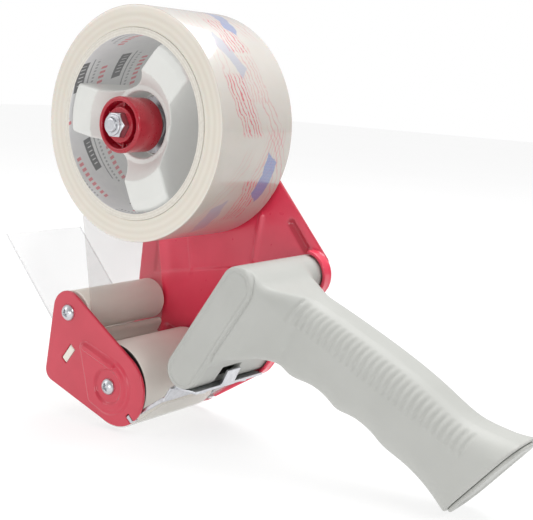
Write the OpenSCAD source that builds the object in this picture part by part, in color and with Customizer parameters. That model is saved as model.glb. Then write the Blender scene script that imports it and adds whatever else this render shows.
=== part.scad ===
// Hand-held carton tape dispenser with a pistol grip.
// Frame: +X to the rear (grip end), +Y from the open loading side to the side frame, +Z up.
// It stands on the applicator roller and on the lower corner of the grip.

/* [Tape roll] */
// width of the tape
tape_w = 48; // [36:1:50]
// outside diameter of the wound roll
roll_d = 101; // [80:1:108]
// bore of the paperboard core
core_id = 76.2; // [75:0.1:78]
// wall of the paperboard core
core_wall = 2.9; // [1.5:0.1:5]
// height of the hub axis above the table
hub_z = 135.5; // [130:0.5:142]

/* [Frame] */
// clear width between the side frame and the near ear
plate_gap = 54; // [52:1:60]
// thickness of the steel sheet
sheet = 1.5; // [1:0.1:2.5]
// inward turn of the rear flange
flange = 4; // [2:0.5:8]

/* [Rollers] */
// diameter of the applicator roller
app_d = 38; // [30:1:42]
// length of the applicator roller
app_len = 49; // [46:1:52]
// distance of the applicator axis ahead of the hub axis
app_x = -3.5; // [-10:0.5:4]
// diameter of the guide roller
guide_d = 19.4; // [14:0.2:22]
// guide roller axis along X
guide_x = -30.4; // [-36:0.2:-26]
// guide roller axis height
guide_z = 48.4; // [44:0.2:54]

/* [Grip] */
// width of the grip
grip_w = 28; // [24:1:34]
// wall of the handle moulding
wall = 2.6; // [2:0.1:4]

/* [Hub] */
// outside radius of the hub lobes
lobe_r = 37.8; // [36:0.1:38]
// half width of one hub lobe
lobe_hw = 10.8; // [8:0.1:13]
// diameter of the tension knob
knob_d = 24; // [18:0.5:27]

/* [Hidden] */
$fn = 96;
eps = 0.01;
// depth by which a straight edge cuts into the arc that it meets
lap = 0.03;
// running distance kept between the tape and the rollers
web_gap = 0.3;
web_t = 0.25;
yi = plate_gap / 2;
yo = yi + sheet;
app_r = app_d / 2;
app_z = app_r + web_gap + web_t;
guide_r = guide_d / 2;
roll_r = roll_d / 2;
core_r = core_id / 2;
core_ro = core_r + core_wall;
hw = tape_w / 2;
// corner circles of the pressed plates, [x, z, radius]
ear_top = [-31, 48.8, 9.5];
ear_front = [-39.5, 19.4, 5.3];
ear_low = [0.3, 19.6, 17.3];
frame_shoulder = [-26.5, 78, 11.5];
frame_hub = [0, hub_z, 17];
head_low = [35.5, 34.5, 8.5];
head_top = [62.5, 75, 8.5];
frame_low = [35.5, 34.5, 10.8];
frame_back = [62.5, 75, 10.8];
// raised panel of the plates
pad_h = 1;
// grip frame: origin and slope
grip_o = [75, 58];
grip_a = -24.5;
// butt corners
butt_top = [181.4, 34.6];
butt_low = [152.6, 0];
butt_ang = atan2(butt_low[1] - butt_top[1], butt_low[0] - butt_top[0]);
cap_t = 2.4;
// flap
flap_len = 65;
flap_t = 0.6;
flap_foot = [-35.31, 30.49];
// shift that puts the origin under the middle of the whole object
x_shift = -50.81;
y_shift = 1.5;

module place() {
    translate([x_shift, y_shift, 0]) children();
}

// plate in the XZ plane between two Y levels
module ex(y0, y1) {
    translate([0, y1, 0]) rotate([90, 0, 0]) linear_extrude(height = y1 - y0) children();
}

// round bar along Y
module cy(x, z, r, y0, y1) {
    translate([x, y1, z]) rotate([90, 0, 0]) cylinder(r = r, h = y1 - y0);
}

// hexagonal bar along Y, across flats af
module hexy(x, z, af, y0, y1) {
    translate([x, y1, z]) rotate([90, 0, 0]) cylinder(r = af / sqrt(3), h = y1 - y0, $fn = 6);
}

// body of revolution about a Y axis, profile given as radius and Y
module rev(x, z) {
    translate([x, 0, z]) rotate([-90, 0, 0]) rotate_extrude() children();
}

// point at angle t and distance r from the centre of a circle given as [x, z, r]
function at(c, r, t) = [c[0] + r * cos(t), c[1] + r * sin(t)];

// two circles joined by a bar as wide as their outer tangents, circles given as [x, z, r]
module link(a, b) {
    d = norm([b[0] - a[0], b[1] - a[1]]);
    p = atan2(b[1] - a[1], b[0] - a[0]);
    k = acos((a[2] - b[2]) / d);
    // the corners of the bar lie a little inside the circles, so that the edges cross
    translate([a[0], a[1]]) circle(r = a[2]);
    translate([b[0], b[1]]) circle(r = b[2]);
    polygon([at(a, a[2] - lap, p + k), at(b, b[2] - lap, p + k), at(b, b[2] - lap, p - k), at(a, a[2] - lap, p - k)]);
}

// straight bar between two points in the XZ plane, thickness t
module bar2(p, q, t) {
    a = atan2(q[1] - p[1], q[0] - p[0]);
    translate(p) rotate(a) translate([0, -t / 2]) square([norm([q[0] - p[0], q[1] - p[1]]), t]);
}

function grow(c, d) = [c[0], c[1], c[2] + d];

// ---------------------------------------------------------------- pressed plates

module ear_2d(d) {
    link(grow(ear_top, d), grow(ear_front, d));
    link(grow(ear_front, d), grow(ear_low, d));
    link(grow(ear_low, d), grow(ear_top, d));
    polygon([[ear_top[0], ear_top[1]], [ear_front[0], ear_front[1]], [ear_low[0], ear_low[1]]]);
}

module frame_2d() {
    ear_2d(0);
    link(ear_top, frame_shoulder);
    link(frame_shoulder, frame_hub);
    link(frame_hub, frame_back);
    link(frame_back, frame_low);
    link(frame_low, ear_low);
    polygon([[ear_top[0], ear_top[1]], [frame_shoulder[0], frame_shoulder[1]], [0, hub_z],
        [frame_back[0], frame_back[1]], [frame_low[0], frame_low[1]], [ear_low[0], ear_low[1]]]);
}

// raised panel round the applicator axle
module pad_2d(d) {
    link([-19, 34, 3 + d], [app_x, app_z, 12.8 + d]);
    link([-13, 12.6, 3 + d], [app_x, app_z, 12.8 + d]);
    polygon([[-22 - d, 34], [-16 - d, 12.6], [app_x, app_z]]);
}

// outer face, dished face and inner face of a plate lie sheet apart everywhere
module plate_press(s) {
    // s is -1 for the ear and +1 for the side frame
    difference() {
        union() {
            children();
            if (s < 0) {
                ex(-yo - pad_h, -yo + eps) pad_2d(0);
            } else {
                ex(yo - eps, yo + pad_h) pad_2d(0);
            }
        }
        difference() {
            if (s < 0) {
                ex(-yi - pad_h, -yi + 1) pad_2d(-1.1);
            } else {
                ex(yi - 1, yi + pad_h) pad_2d(-1.1);
            }
            cy(app_x, app_z, 8.2, -yo - pad_h - 1, yo + pad_h + 1);
        }
        if (s < 0) {
            cy(app_x, app_z, 7, -yo - pad_h - 1, -yo);
        } else {
            cy(app_x, app_z, 7, yo, yo + pad_h + 1);
        }
    }
}

module tab_slot_2d(g) {
    translate([-29.9, 29.2]) rotate(53) square([9 + g, 3.6 + g], center = true);
}

// open notch in the lower edge of the plates for the hook of the blade bracket
module hook_slot_2d(g) {
    translate([9.9, 7.6]) rotate(-41.7) translate([-2.2 - g, -1 - g / 2]) square([6 + g, 2 + g]);
}

module near_ear() {
    color([0.82, 0.16, 0.22]) place() difference() {
        union() {
            plate_press(-1) ex(-yo, -yi) ear_2d(0);
            // stiffening rib
            ex(-yo - pad_h - 0.7, -yo - pad_h + eps) link([-18.4, 34.6, 1.2], [-1, 29.2, 1.2]);
        }
        cy(guide_x, guide_z, 2.1, -yo - 3, -yi + 1);
        cy(app_x, app_z, 2.1, -yo - 3, -yi + 1);
        ex(-yo - 3, -yi + 1) tab_slot_2d(0.2);
        ex(-yo - 3, -yi + 1) hook_slot_2d(0.2);
    }
}

module side_frame() {
    color([0.82, 0.16, 0.22]) place() difference() {
        union() {
            plate_press(1) ex(yi, yo) frame_2d();
            // flange round the head of the handle, open where the grip leaves it
            intersection() {
                difference() {
                    ex(yi - flange, yi + eps) link(frame_back, frame_low);
                    ex(yi - flange - 1, yi + 1) link(grow(frame_back, -sheet), grow(frame_low, -sheet));
                }
                union() {
                    ex(yi - flange - 1, yi + 1) polygon([[62.5, 75], [66, 100], [90, 90], [86, 66], [70, 66]]);
                    ex(yi - flange - 1, yi + 1) polygon([[35.5, 34.5], [34.5, 15], [60, 15], [52, 34.5]]);
                }
            }
            // pressed ribs
            ex(yo - eps, yo + 0.8) link([50.6, 95.6, 1.3], [59, 85.6, 1.3]);
            ex(yo - eps, yo + 0.8) link([-20, 62, 1.3], [8, 66, 1.3]);
        }
        // dished seat of the hub bolt
        cy(0, hub_z, 3.05, yi - 1, yo + 3);
        cy(guide_x, guide_z, 2.1, yi - 1, yo + 3);
        cy(app_x, app_z, 2.1, yi - 1, yo + 3);
        cy(head_low[0], head_low[1] + 2, 2.1, yi - 1, yo + 3);
        cy(head_top[0], head_top[1], 2.1, yi - 1, yo + 3);
        ex(yi - 1, yo + 3) tab_slot_2d(0.2);
        ex(yi - 1, yo + 3) hook_slot_2d(0.2);
    }
}

// ---------------------------------------------------------------- guide bar and flap

module guide_bar() {
    color([0.80, 0.76, 0.69]) place() difference() {
        union() {
            ex(-yi, yi) bar2([-34.2, 23.4], [-25.6, 37.4], 4.4);
            // ledge that carries the flap
            ex(-hw - 0.5, hw + 0.5) bar2([-33.4, 27.0], [-40.5, 34.1], 2.2);
            // tabs through the slots of the plates
            ex(-yo + 0.2, -yi + eps) tab_slot_2d(0);
            ex(yi - eps, yo - 0.2) tab_slot_2d(0);
        }
        for (y = [-18, 0, 18]) {
            translate([-37.41, y, 32.59]) rotate([0, 45, 0]) cylinder(r = 1.3, h = 8, center = true);
        }
    }
}

module tape_flap() {
    // clear sheet lying on the ledge
    color([0.90, 0.92, 0.94, 0.4]) place() translate([flap_foot[0], 0, flap_foot[1]]) rotate([0, 45, 0])
        difference() {
            union() {
                translate([-flap_len + 3, -hw, 0]) cube([flap_len - 3, tape_w, flap_t]);
                translate([-flap_len, -hw + 3, 0]) cube([4, tape_w - 6, flap_t]);
                for (s = [-1, 1]) {
                    translate([-flap_len + 3, s * (hw - 3), 0]) cylinder(r = 3, h = flap_t);
                }
            }
            for (y = [-18, 0, 18]) {
                translate([-2.97, y, -1]) cylinder(r = 1.3, h = 3);
            }
        }
}

module flap_rivets() {
    color([0.75, 0.75, 0.76]) place() for (y = [-18, 0, 18]) {
        translate([flap_foot[0], y, flap_foot[1]]) rotate([0, 45, 0]) translate([-2.97, 0, 0]) union() {
            translate([0, 0, -2.3]) cylinder(r = 1.25, h = 2.9 + eps);
            translate([0, 0, flap_t]) cylinder(r = 2.3, h = 0.8);
            translate([0, 0, -3.0]) cylinder(r = 2.0, h = 0.7 + eps);
        }
    }
}

// ---------------------------------------------------------------- rollers

module cross_recess(x, z, s, y) {
    // cruciform recess in a screw head
    for (a = [0, 90]) {
        translate([x, y, z]) rotate([0, a + 20, 0]) cube([4.2, 2.4, 0.9], center = true);
    }
}

// pan-head screw along Y, seat at y, s is the side the head points to
module pan_screw(x, z, y, s, len, hr) {
    difference() {
        union() {
            intersection() {
                translate([x, y - s * 2.2, z]) sphere(r = 4.9);
                if (s < 0) {
                    cy(x, z, hr, y - 2.6, y);
                } else {
                    cy(x, z, hr, y, y + 2.6);
                }
            }
            if (s < 0) {
                cy(x, z, 2, y - eps, y + len);
            } else {
                cy(x, z, 2, y - len, y + eps);
            }
        }
        cross_recess(x, z, s, y + s * 2.6);
    }
}

module guide_axle() {
    color([0.72, 0.73, 0.75]) place() difference() {
        cy(guide_x, guide_z, 3, -yi, yi);
        cy(guide_x, guide_z, 2, -yi - 1, -yi + 11);
        cy(guide_x, guide_z, 2, yi - 11, yi + 1);
    }
}

module guide_roller() {
    color([0.83, 0.79, 0.72]) place() rev(guide_x, guide_z) polygon([
        [3.05, -26.4], [5.5, -26.4], [5.5, -25.2], [guide_r - 0.4, -25.2], [guide_r, -24.8],
        [guide_r, 24.8], [guide_r - 0.4, 25.2], [5.5, 25.2], [5.5, 26.4], [3.05, 26.4],
        [3.05, 20], [6.5, 20], [6.5, -20], [3.05, -20]
    ]);
}

module guide_screws() {
    color([0.78, 0.79, 0.81]) place() {
        pan_screw(guide_x, guide_z, -yo, -1, 10, 3.8);
        pan_screw(guide_x, guide_z, yo, 1, 10, 3.8);
    }
}

module applicator_axle() {
    color([0.72, 0.73, 0.75]) place() difference() {
        cy(app_x, app_z, 4, -yi, yi);
        cy(app_x, app_z, 2, -yi - 1, -yi + 11);
        cy(app_x, app_z, 2, yi - 11, yi + 1);
    }
}

module applicator_core() {
    // moulded core: bearing tube, one web and the rim
    color([0.55, 0.54, 0.52]) place() difference() {
        rev(app_x, app_z) polygon([
            [4.05, -26.2], [6.6, -26.2], [6.6, -2], [app_r - 5, -2], [app_r - 5, -app_len / 2 + 0.6],
            [app_r - 3, -app_len / 2 + 0.6], [app_r - 3, app_len / 2 - 0.6],
            [app_r - 5, app_len / 2 - 0.6], [app_r - 5, 2], [6.6, 2], [6.6, 26.2], [4.05, 26.2]
        ]);
        for (a = [0 : 60 : 300]) {
            cy(app_x + 10.2 * cos(a), app_z + 10.2 * sin(a), 2.2, -3, 3);
        }
    }
}

module applicator_sleeve() {
    color([0.83, 0.80, 0.73]) place() rev(app_x, app_z) polygon([
        [app_r - 3, -app_len / 2], [app_r - 0.6, -app_len / 2], [app_r, -app_len / 2 + 0.6],
        [app_r, app_len / 2 - 0.6], [app_r - 0.6, app_len / 2], [app_r - 3, app_len / 2]
    ]);
}

module applicator_screws() {
    color([0.78, 0.79, 0.81]) place() {
        pan_screw(app_x, app_z, -yo, -1, 10, 3.8);
        pan_screw(app_x, app_z, yo, 1, 10, 3.8);
    }
}

// ---------------------------------------------------------------- blade

module blade_bracket() {
    color([0.24, 0.24, 0.26]) place() difference() {
        union() {
            // strap under the head
            ex(-yi + 3, yi - flange - 0.4) bar2([30.6, 26.0], [43.2, 26.0], 1.2);
            // leg that carries the blade
            ex(-yi + 0.4, yi - 0.4) bar2([27.25, 19.39], [31.45, 26.19], 1.2);
            // hooks to the plates
            for (s = [-1, 1]) {
                if (s < 0) {
                    ex(-yo + 0.1, -yi + 2.2) bar2([8.6, 8.7], [11.2, 6.4], 1.8);
                    ex(-yi + 0.6, -yi + 2.2) bar2([10.2, 8.4], [27.4, 20.4], 2.6);
                } else {
                    ex(yi - 2.2, yo - 0.1) bar2([8.6, 8.7], [11.2, 6.4], 1.8);
                    ex(yi - 2.2, yi - 0.6) bar2([10.2, 8.4], [27.4, 20.4], 2.6);
                }
            }
            // tongue into the notch of the head
            ex(-7, 2) bar2([42.4, 25.6], [46.2, 33.6], 1.2);
        }
        for (y = [-14, 14]) {
            translate([36.5, y, 20]) cylinder(r = 2.1, h = 10);
            translate([29.4, y, 23.7]) rotate([0, -58.3, 0]) cylinder(r = 1.3, h = 8, center = true);
        }
    }
}

module blade() {
    // toothed strip on the front of the leg, teeth downwards
    color([0.80, 0.81, 0.83]) place() translate([25.33, 0, 17.45]) rotate([0, 31.7, 0]) difference() {
        union() {
            translate([-0.8, -24.6, 1.6]) cube([0.8, 49.2, 7.9]);
            for (i = [0 : 19]) {
                translate([-0.8, -24.6 + i * 2.46, 1.6 + eps]) rotate([0, 90, 0]) linear_extrude(height = 0.8)
                    polygon([[0, 0], [1.6, 1.23], [0, 2.46]]);
            }
        }
        for (y = [-14, 14]) {
            translate([-3, y, 7.45]) rotate([0, 90, 0]) cylinder(r = 1.3, h = 6);
        }
    }
}

module blade_rivets() {
    color([0.78, 0.79, 0.81]) place() for (y = [-14, 14]) {
        translate([25.33, y, 17.45]) rotate([0, 31.7, 0]) translate([0, 0, 7.45]) rotate([0, 90, 0]) union() {
            translate([0, 0, -0.8 - eps]) cylinder(r = 1.25, h = 2.2);
            translate([0, 0, -1.5]) cylinder(r = 2.1, h = 0.7);
        }
    }
}

module bracket_screws() {
    color([0.78, 0.79, 0.81]) place() for (y = [-14, 14]) {
        difference() {
            union() {
                translate([36.5, y, 23.4]) cylinder(r = 3.4, h = 2.0);
                translate([36.5, y, 25.4 - eps]) cylinder(r = 1.6, h = 9);
            }
            translate([36.5, y, 23.4]) cube([3.6, 0.8, 2], center = true);
            translate([36.5, y, 23.4]) cube([0.8, 3.6, 2], center = true);
        }
    }
}

// ---------------------------------------------------------------- handle

// half plane beyond the butt face, moved inwards by t
module butt_cut_2d(t) {
    translate(butt_top) rotate(butt_ang) translate([-30, -t]) square([120, 60]);
}

// finger groove between two knuckles, depth s, moved by d with the inset outline
module groove(p, q, s, d) {
    // the groove stops short of the knuckles, which keep a small land
    c = norm(q - p) - 2.4;
    r = c * c / (8 * s) + s / 2;
    n = [(q[1] - p[1]) / c, -(q[0] - p[0]) / c];
    m = (p + q) / 2 + n * (r - s);
    translate(m) circle(r = r + d);
}

// side outline of neck and grip, inset by d and ended at t from the butt face
module grip_2d(d, t) {
    k1 = [82.3, 36.6];
    k2 = [102.7, 28.4];
    k3 = [125.1, 18.4];
    k4 = [151, 0];
    difference() {
        polygon([
            [46 + d, 46], [58, 81 - d], [66, 79.8 - d], [76, 76.4 - d], [85.9, 72.2 - d], [100.8, 66.4 - d],
            [116.5, 59.9 - d], [131.1, 53.3 - d], [142.6, 47.3 - d], [153.9, 40.6 - d], [161.2, 37.4 - d],
            [170.3, 35.6 - d], [177.6, 34.7 - d], [190, 33.9 - d], [190, k4[1] + d], [k4[0] + d, k4[1] + d],
            [k3[0], k3[1] + d], [k2[0], k2[1] + d], [k1[0], k1[1] + d], [70, 42.6 + d], [52, 41.5 + d]
        ]);
        groove(k1, k2, 2.6, d);
        groove(k2, k3, 2.8, d);
        groove(k3, k4, 2.6, d);
        butt_cut_2d(t);
    }
}

// rounded cross section of the grip, Y across and v along its depth
module section_2d(w, v0, v1, r) {
    for (s = [-1, 1]) {
        translate([s * (w / 2 - r), v0 + r]) circle(r = r);
        translate([s * (w / 2 - r), v1 - r]) circle(r = r);
    }
    translate([-w / 2, v0 + r]) square([w, v1 - v0 - 2 * r]);
    translate([-w / 2 + r, v0]) square([w - 2 * r, v1 - v0]);
}

module grip_prism(w, v0, v1, r, u0, u1) {
    translate([grip_o[0], 0, grip_o[1]]) rotate([0, -grip_a, 0]) translate([u0, 0, 0])
        rotate([90, 0, 90]) linear_extrude(height = u1 - u0) section_2d(w, v0, v1, r);
}

// half width of the neck at u along the grip, from w1 at the head to w0 on the grip
function neck_w(u, w1, w0) = let (t = min(1, max(0, (u + 7) / 15))) w1 + (w0 - w1) * t * t * (3 - 2 * t);

// plan outline of the neck; on the far side it stays inside the flange of the plate
module neck_plan(d) {
    n = 12;
    near = 24.6 - d;
    far = yi - flange - 0.4 - d;
    w0 = grip_w / 2 - d;
    polygon(concat(
        [[-34, -near]],
        [for (i = [0 : n]) let (u = -7 + 15 * i / n) [u, -neck_w(u, near, w0)]],
        [[20, -w0], [20, w0]],
        [for (i = [n : -1 : 0]) let (u = -7 + 15 * i / n) [u, neck_w(u, far, w0)]],
        [[-34, far]]
    ));
}

// outer form of neck and grip, or of their hollow when inset by d
module grip_form(d, t) {
    w = grip_w - 2 * d;
    intersection() {
        ex(-40, 40) grip_2d(d, t);
        union() {
            grip_prism(w, -25 + d, 25.6 - d, 11 - d, 16, 130);
            translate([grip_o[0], 0, grip_o[1]]) rotate([0, -grip_a, 0])
                translate([0, 0, -40]) linear_extrude(height = 80) neck_plan(d);
        }
    }
}

module handle() {
    color([0.78, 0.79, 0.77]) place() difference() {
        union() {
            difference() {
                union() {
                    ex(-25, yi) link(head_low, head_top);
                    grip_form(0, 0);
                }
                // hollow of the head, open towards the side frame
                ex(-25 + wall, yi + 1) link(grow(head_low, -wall), grow(head_top, -wall));
                // hollow of the grip, open at the butt
                grip_form(wall, -5);
                // panel line on the near face
                difference() {
                    ex(-26, -24.5) link(grow(head_low, -1.8), grow(head_top, -1.8));
                    ex(-26, -24) link(grow(head_low, -2.6), grow(head_top, -2.6));
                }
            }
            // screw bosses
            cy(head_low[0], head_low[1] + 2, 4, -23, yi);
            cy(head_top[0], head_top[1], 4, -23, yi);
            for (y = [-14, 14]) {
                translate([36.5, y, 26.6]) cylinder(r = 3.8, h = 9);
            }
        }
        // seat of the blade strap
        ex(-yi + 2.8, yi + 1) polygon([[26, 18], [26, 26.6], [43.6, 26.6], [43.6, 18]]);
        // notch over the tongue
        cy(44, 31, 5, -9, 3);
        translate([39, -9, 20]) cube([10, 12, 11]);
        cy(head_low[0], head_low[1] + 2, 2, yi - 12, yi + 1);
        cy(head_top[0], head_top[1], 2, yi - 12, yi + 1);
        for (y = [-14, 14]) {
            translate([36.5, y, 26]) cylinder(r = 1.6, h = 9.5);
        }
    }
}

// outline of the butt cap, u along the butt from its top and Y across
module cap_2d(u0, u1, w, r) {
    for (s = [-1, 1]) {
        translate([u0 + r, s * (w / 2 - r)]) circle(r = r);
        translate([u1 - r, s * (w / 2 - r)]) circle(r = r);
    }
    translate([u0 + r, -w / 2]) square([u1 - u0 - 2 * r, w]);
    translate([u0, -w / 2 + r]) square([u1 - u0, w - 2 * r]);
}

module grip_cap() {
    // plate over the open butt and the plug behind it
    color([0.70, 0.71, 0.69]) place() translate([butt_top[0], 0, butt_top[1]]) rotate([0, -butt_ang, 0]) union() {
        linear_extrude(height = cap_t) cap_2d(1.2, 42.6, grip_w - 2, 9.5);
        translate([0, 0, -3]) linear_extrude(height = 3 + eps) cap_2d(7, 36.5, grip_w - 2 * wall - 1, 6.5);
    }
}

module handle_screws() {
    color([0.78, 0.79, 0.81]) place() {
        pan_screw(head_low[0], head_low[1] + 2, yo, 1, 11, 3.8);
        pan_screw(head_top[0], head_top[1], yo, 1, 11, 3.8);
    }
}

// ---------------------------------------------------------------- hub group

module hub_bolt() {
    color([0.76, 0.77, 0.79]) place() union() {
        cy(0, hub_z, 3, -36.5, yo + 1 + eps);
        hexy(0, hub_z, 10, yo + 1, yo + 5);
    }
}

module bolt_washer() {
    color([0.76, 0.77, 0.79]) place() difference() {
        cy(0, hub_z, 7, yo, yo + 1);
        cy(0, hub_z, 3.05, yo - 1, yo + 2);
    }
}

module jam_nut() {
    color([0.76, 0.77, 0.79]) place() difference() {
        hexy(0, hub_z, 10, yi - 3.2, yi);
        cy(0, hub_z, 3, yi - 5, yi + 1);
    }
}

module lobes_2d(r, h) {
    // three lobes with round valleys between them
    rho = 14;
    c = (h + rho) / sin(60);
    union() {
        difference() {
            circle(r = r);
            for (a = [231, 111, -9]) {
                rotate(a) union() {
                    translate([c, 0]) circle(r = rho);
                    polygon([
                        [c, 0],
                        [c * cos(60) * cos(60) + h * sin(60), c * cos(60) * sin(60) - h * cos(60)],
                        [60 * cos(60) + h * sin(60), 60 * sin(60) - h * cos(60)],
                        [60 * cos(60) + h * sin(60), -60 * sin(60) + h * cos(60)],
                        [c * cos(60) * cos(60) + h * sin(60), -c * cos(60) * sin(60) + h * cos(60)]
                    ]);
                }
            }
        }
        circle(r = 16.8);
    }
}

module hub() {
    color([0.90, 0.90, 0.88]) place() difference() {
        union() {
            intersection() {
                rev(0, hub_z) polygon([
                    [0, -18], [16.8, -18], [24, -25], [33.5, -24.4], [36.4, -23.6], [lobe_r, -21.6],
                    [lobe_r, 24.2], [0, 24.2]
                ]);
                translate([0, 0, hub_z]) ex(-30, 30) lobes_2d(lobe_r + 1, lobe_hw);
            }
            // stop flange behind the roll
            cy(0, hub_z, 43, 24.2, 26);
        }
        // hollow of the lobes
        difference() {
            translate([0, 0, hub_z]) ex(-15.6, 30) lobes_2d(lobe_r - 2, lobe_hw - 2);
            cy(0, hub_z, 16.8, -20, 30);
        }
        difference() {
            cy(0, hub_z, 14.4, -3.5, 30);
            cy(0, hub_z, 8, -6, 22);
        }
        // recess of the knob
        cy(0, hub_z, 14.5, -19, -6);
        cy(0, hub_z, 5.5, -8, 30);
        intersection() {
            rev(0, hub_z) polygon([
                [19.5, -15.4], [19.5, -18], [24.5, -22.7], [33, -22.2], [35.8, -19.4], [35.8, -15.4]
            ]);
            translate([0, 0, hub_z]) ex(-30, 30) lobes_2d(lobe_r - 2, lobe_hw - 2);
        }
    }
}

module hub_bush() {
    color([0.86, 0.85, 0.80]) place() difference() {
        cy(0, hub_z, 5.5, -6, 23.6);
        cy(0, hub_z, 3.05, -7, 25);
    }
}

module brake_washer() {
    color([0.35, 0.26, 0.20]) place() difference() {
        cy(0, hub_z, 13, -7.5, -6);
        cy(0, hub_z, 6, -8, -5);
    }
}

module pressure_washer() {
    color([0.70, 0.71, 0.73]) place() difference() {
        cy(0, hub_z, 12.5, -9.05, -7.55);
        cy(0, hub_z, 3, -10, -7);
    }
}

module tension_spring() {
    // open coil between the two washers
    n = 5;
    len = 25 - 9.05;
    color([0.66, 0.67, 0.69]) place() translate([0, -9.05, hub_z]) rotate([90, 0, 0]) union() {
        linear_extrude(height = len, twist = -360 * n, $fn = 14) polygon(concat(
            [for (i = [0 : 6]) [7.2 * cos(i * 25), 7.2 * sin(i * 25)]],
            [for (i = [6 : -1 : 0]) [5.8 * cos(i * 25), 5.8 * sin(i * 25)]]
        ));
    }
}

module thrust_washer() {
    color([0.70, 0.71, 0.73]) place() difference() {
        cy(0, hub_z, 9, -26, -25);
        cy(0, hub_z, 3.3, -27, -24);
    }
}

module tension_knob() {
    kr = knob_d / 2;
    color([0.75, 0.07, 0.15]) place() difference() {
        union() {
            rev(0, hub_z) polygon([
                [3.3, -26], [10, -26], [10, -16], [kr - 0.6, -16], [kr, -16.6], [kr, -30.9],
                [kr - 0.6, -31.5], [kr - 2.0, -31.5], [kr - 2.4, -29.5], [3.3, -29.5]
            ]);
            // six-sided collar that keeps the nut from turning in the knob
            difference() {
                cy(0, hub_z, 7.6, -31, -29.4);
                hexy(0, hub_z, 10.1, -32, -29.4);
            }
        }
    }
}

module lock_nut() {
    color([0.78, 0.79, 0.81]) place() difference() {
        union() {
            intersection() {
                hexy(0, hub_z, 10, -34.4, -29.5);
                rev(0, hub_z) polygon([[0, -29.5], [6, -29.5], [6, -33.8], [5.1, -34.4], [0, -34.4]]);
            }
            cy(0, hub_z, 4.4, -35.6, -34.4 + eps);
        }
        cy(0, hub_z, 3.05, -37, -29);
    }
}

// ---------------------------------------------------------------- tape

module tape_core() {
    color([0.76, 0.68, 0.56]) place() difference() {
        cy(0, hub_z, core_ro, -hw, hw);
        cy(0, hub_z, core_r, -hw - 1, hw + 1);
    }
}

module tape_roll() {
    color([0.90, 0.88, 0.82]) place() difference() {
        cy(0, hub_z, roll_r, -hw, hw);
        cy(0, hub_z, core_ro, -hw - 1, hw + 1);
    }
}

module tape_web() {
    // one strip in the XZ plane: off the roll, down behind the guide roller, round the
    // applicator roller and back to the blade
    rg = guide_r + web_gap + web_t / 2;
    ra = app_r + web_gap + web_t / 2;
    g = [guide_x, guide_z];
    a = [app_x, app_z];
    h = web_t / 2;
    n = 18;
    // end on the roll
    p = [(roll_r + 0.5) * cos(-123), hub_z + (roll_r + 0.5) * sin(-123)];
    t0 = atan2(p[1] - g[1], p[0] - g[0]) - acos(rg / norm(p - g));
    // crossing tangent from the guide roller to the applicator
    ph = atan2(a[1] - g[1], a[0] - g[0]);
    kk = acos((rg + ra) / norm(a - g));
    t1 = ph + kk;
    s0 = ph + 180 + kk;
    // end at the blade
    b = [25.6, 17.15];
    s1 = atan2(b[1] - a[1], b[0] - a[0]) - acos(ra / norm(b - a)) + 360;
    color([0.90, 0.89, 0.84, 0.5]) place() ex(-hw, hw) polygon(concat(
        [at(p, h, t0)],
        [for (i = [0 : n]) at(g, rg + h, t0 + (t1 - t0) * i / n)],
        [for (i = [0 : n]) at(a, ra - h, s0 + (s1 - s0) * i / n)],
        [at(b, -h, s1), at(b, h, s1)],
        [for (i = [n : -1 : 0]) at(a, ra + h, s0 + (s1 - s0) * i / n)],
        [for (i = [n : -1 : 0]) at(g, rg - h, t0 + (t1 - t0) * i / n)],
        [at(p, -h, t0)]
    ));
}

side_frame();
near_ear();
guide_bar();
tape_flap();
flap_rivets();
guide_axle();
guide_roller();
guide_screws();
applicator_axle();
applicator_core();
applicator_sleeve();
applicator_screws();
blade_bracket();
blade();
blade_rivets();
bracket_screws();
handle();
grip_cap();
handle_screws();
hub_bolt();
bolt_washer();
jam_nut();
hub();
hub_bush();
brake_washer();
pressure_washer();
tension_spring();
thrust_washer();
tension_knob();
lock_nut();
tape_core();
tape_roll();
tape_web();
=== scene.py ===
"""Looks for the hand-held packing tape dispenser.

Shapes are written in millimetres in the design's own axes: X = 0 on the hub axis, Y = 0 in
the middle of the tape, Z = 0 on the table. place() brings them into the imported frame.
"""

import math

import bmesh
import bpy
import numpy as np
from mathutils import Matrix, Vector


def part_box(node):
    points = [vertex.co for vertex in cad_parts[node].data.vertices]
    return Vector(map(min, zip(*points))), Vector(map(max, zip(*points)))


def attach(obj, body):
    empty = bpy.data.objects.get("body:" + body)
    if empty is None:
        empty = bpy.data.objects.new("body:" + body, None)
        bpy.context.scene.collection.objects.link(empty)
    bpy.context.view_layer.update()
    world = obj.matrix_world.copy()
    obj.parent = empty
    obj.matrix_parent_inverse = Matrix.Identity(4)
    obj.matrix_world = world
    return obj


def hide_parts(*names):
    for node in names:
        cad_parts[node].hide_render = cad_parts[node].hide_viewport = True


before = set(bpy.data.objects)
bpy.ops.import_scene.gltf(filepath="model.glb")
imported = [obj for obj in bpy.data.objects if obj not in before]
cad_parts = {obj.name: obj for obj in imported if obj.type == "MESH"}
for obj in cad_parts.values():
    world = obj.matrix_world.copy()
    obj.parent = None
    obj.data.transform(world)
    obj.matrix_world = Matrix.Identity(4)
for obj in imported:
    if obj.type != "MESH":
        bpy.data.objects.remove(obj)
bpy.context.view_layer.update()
scene = bpy.context.scene


# ---- sizes from the frame

def middle(node):
    lo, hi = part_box(node)
    return (lo + hi) / 2 * 1000


def span(node):
    lo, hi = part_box(node)
    return (hi - lo) * 1000


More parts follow.
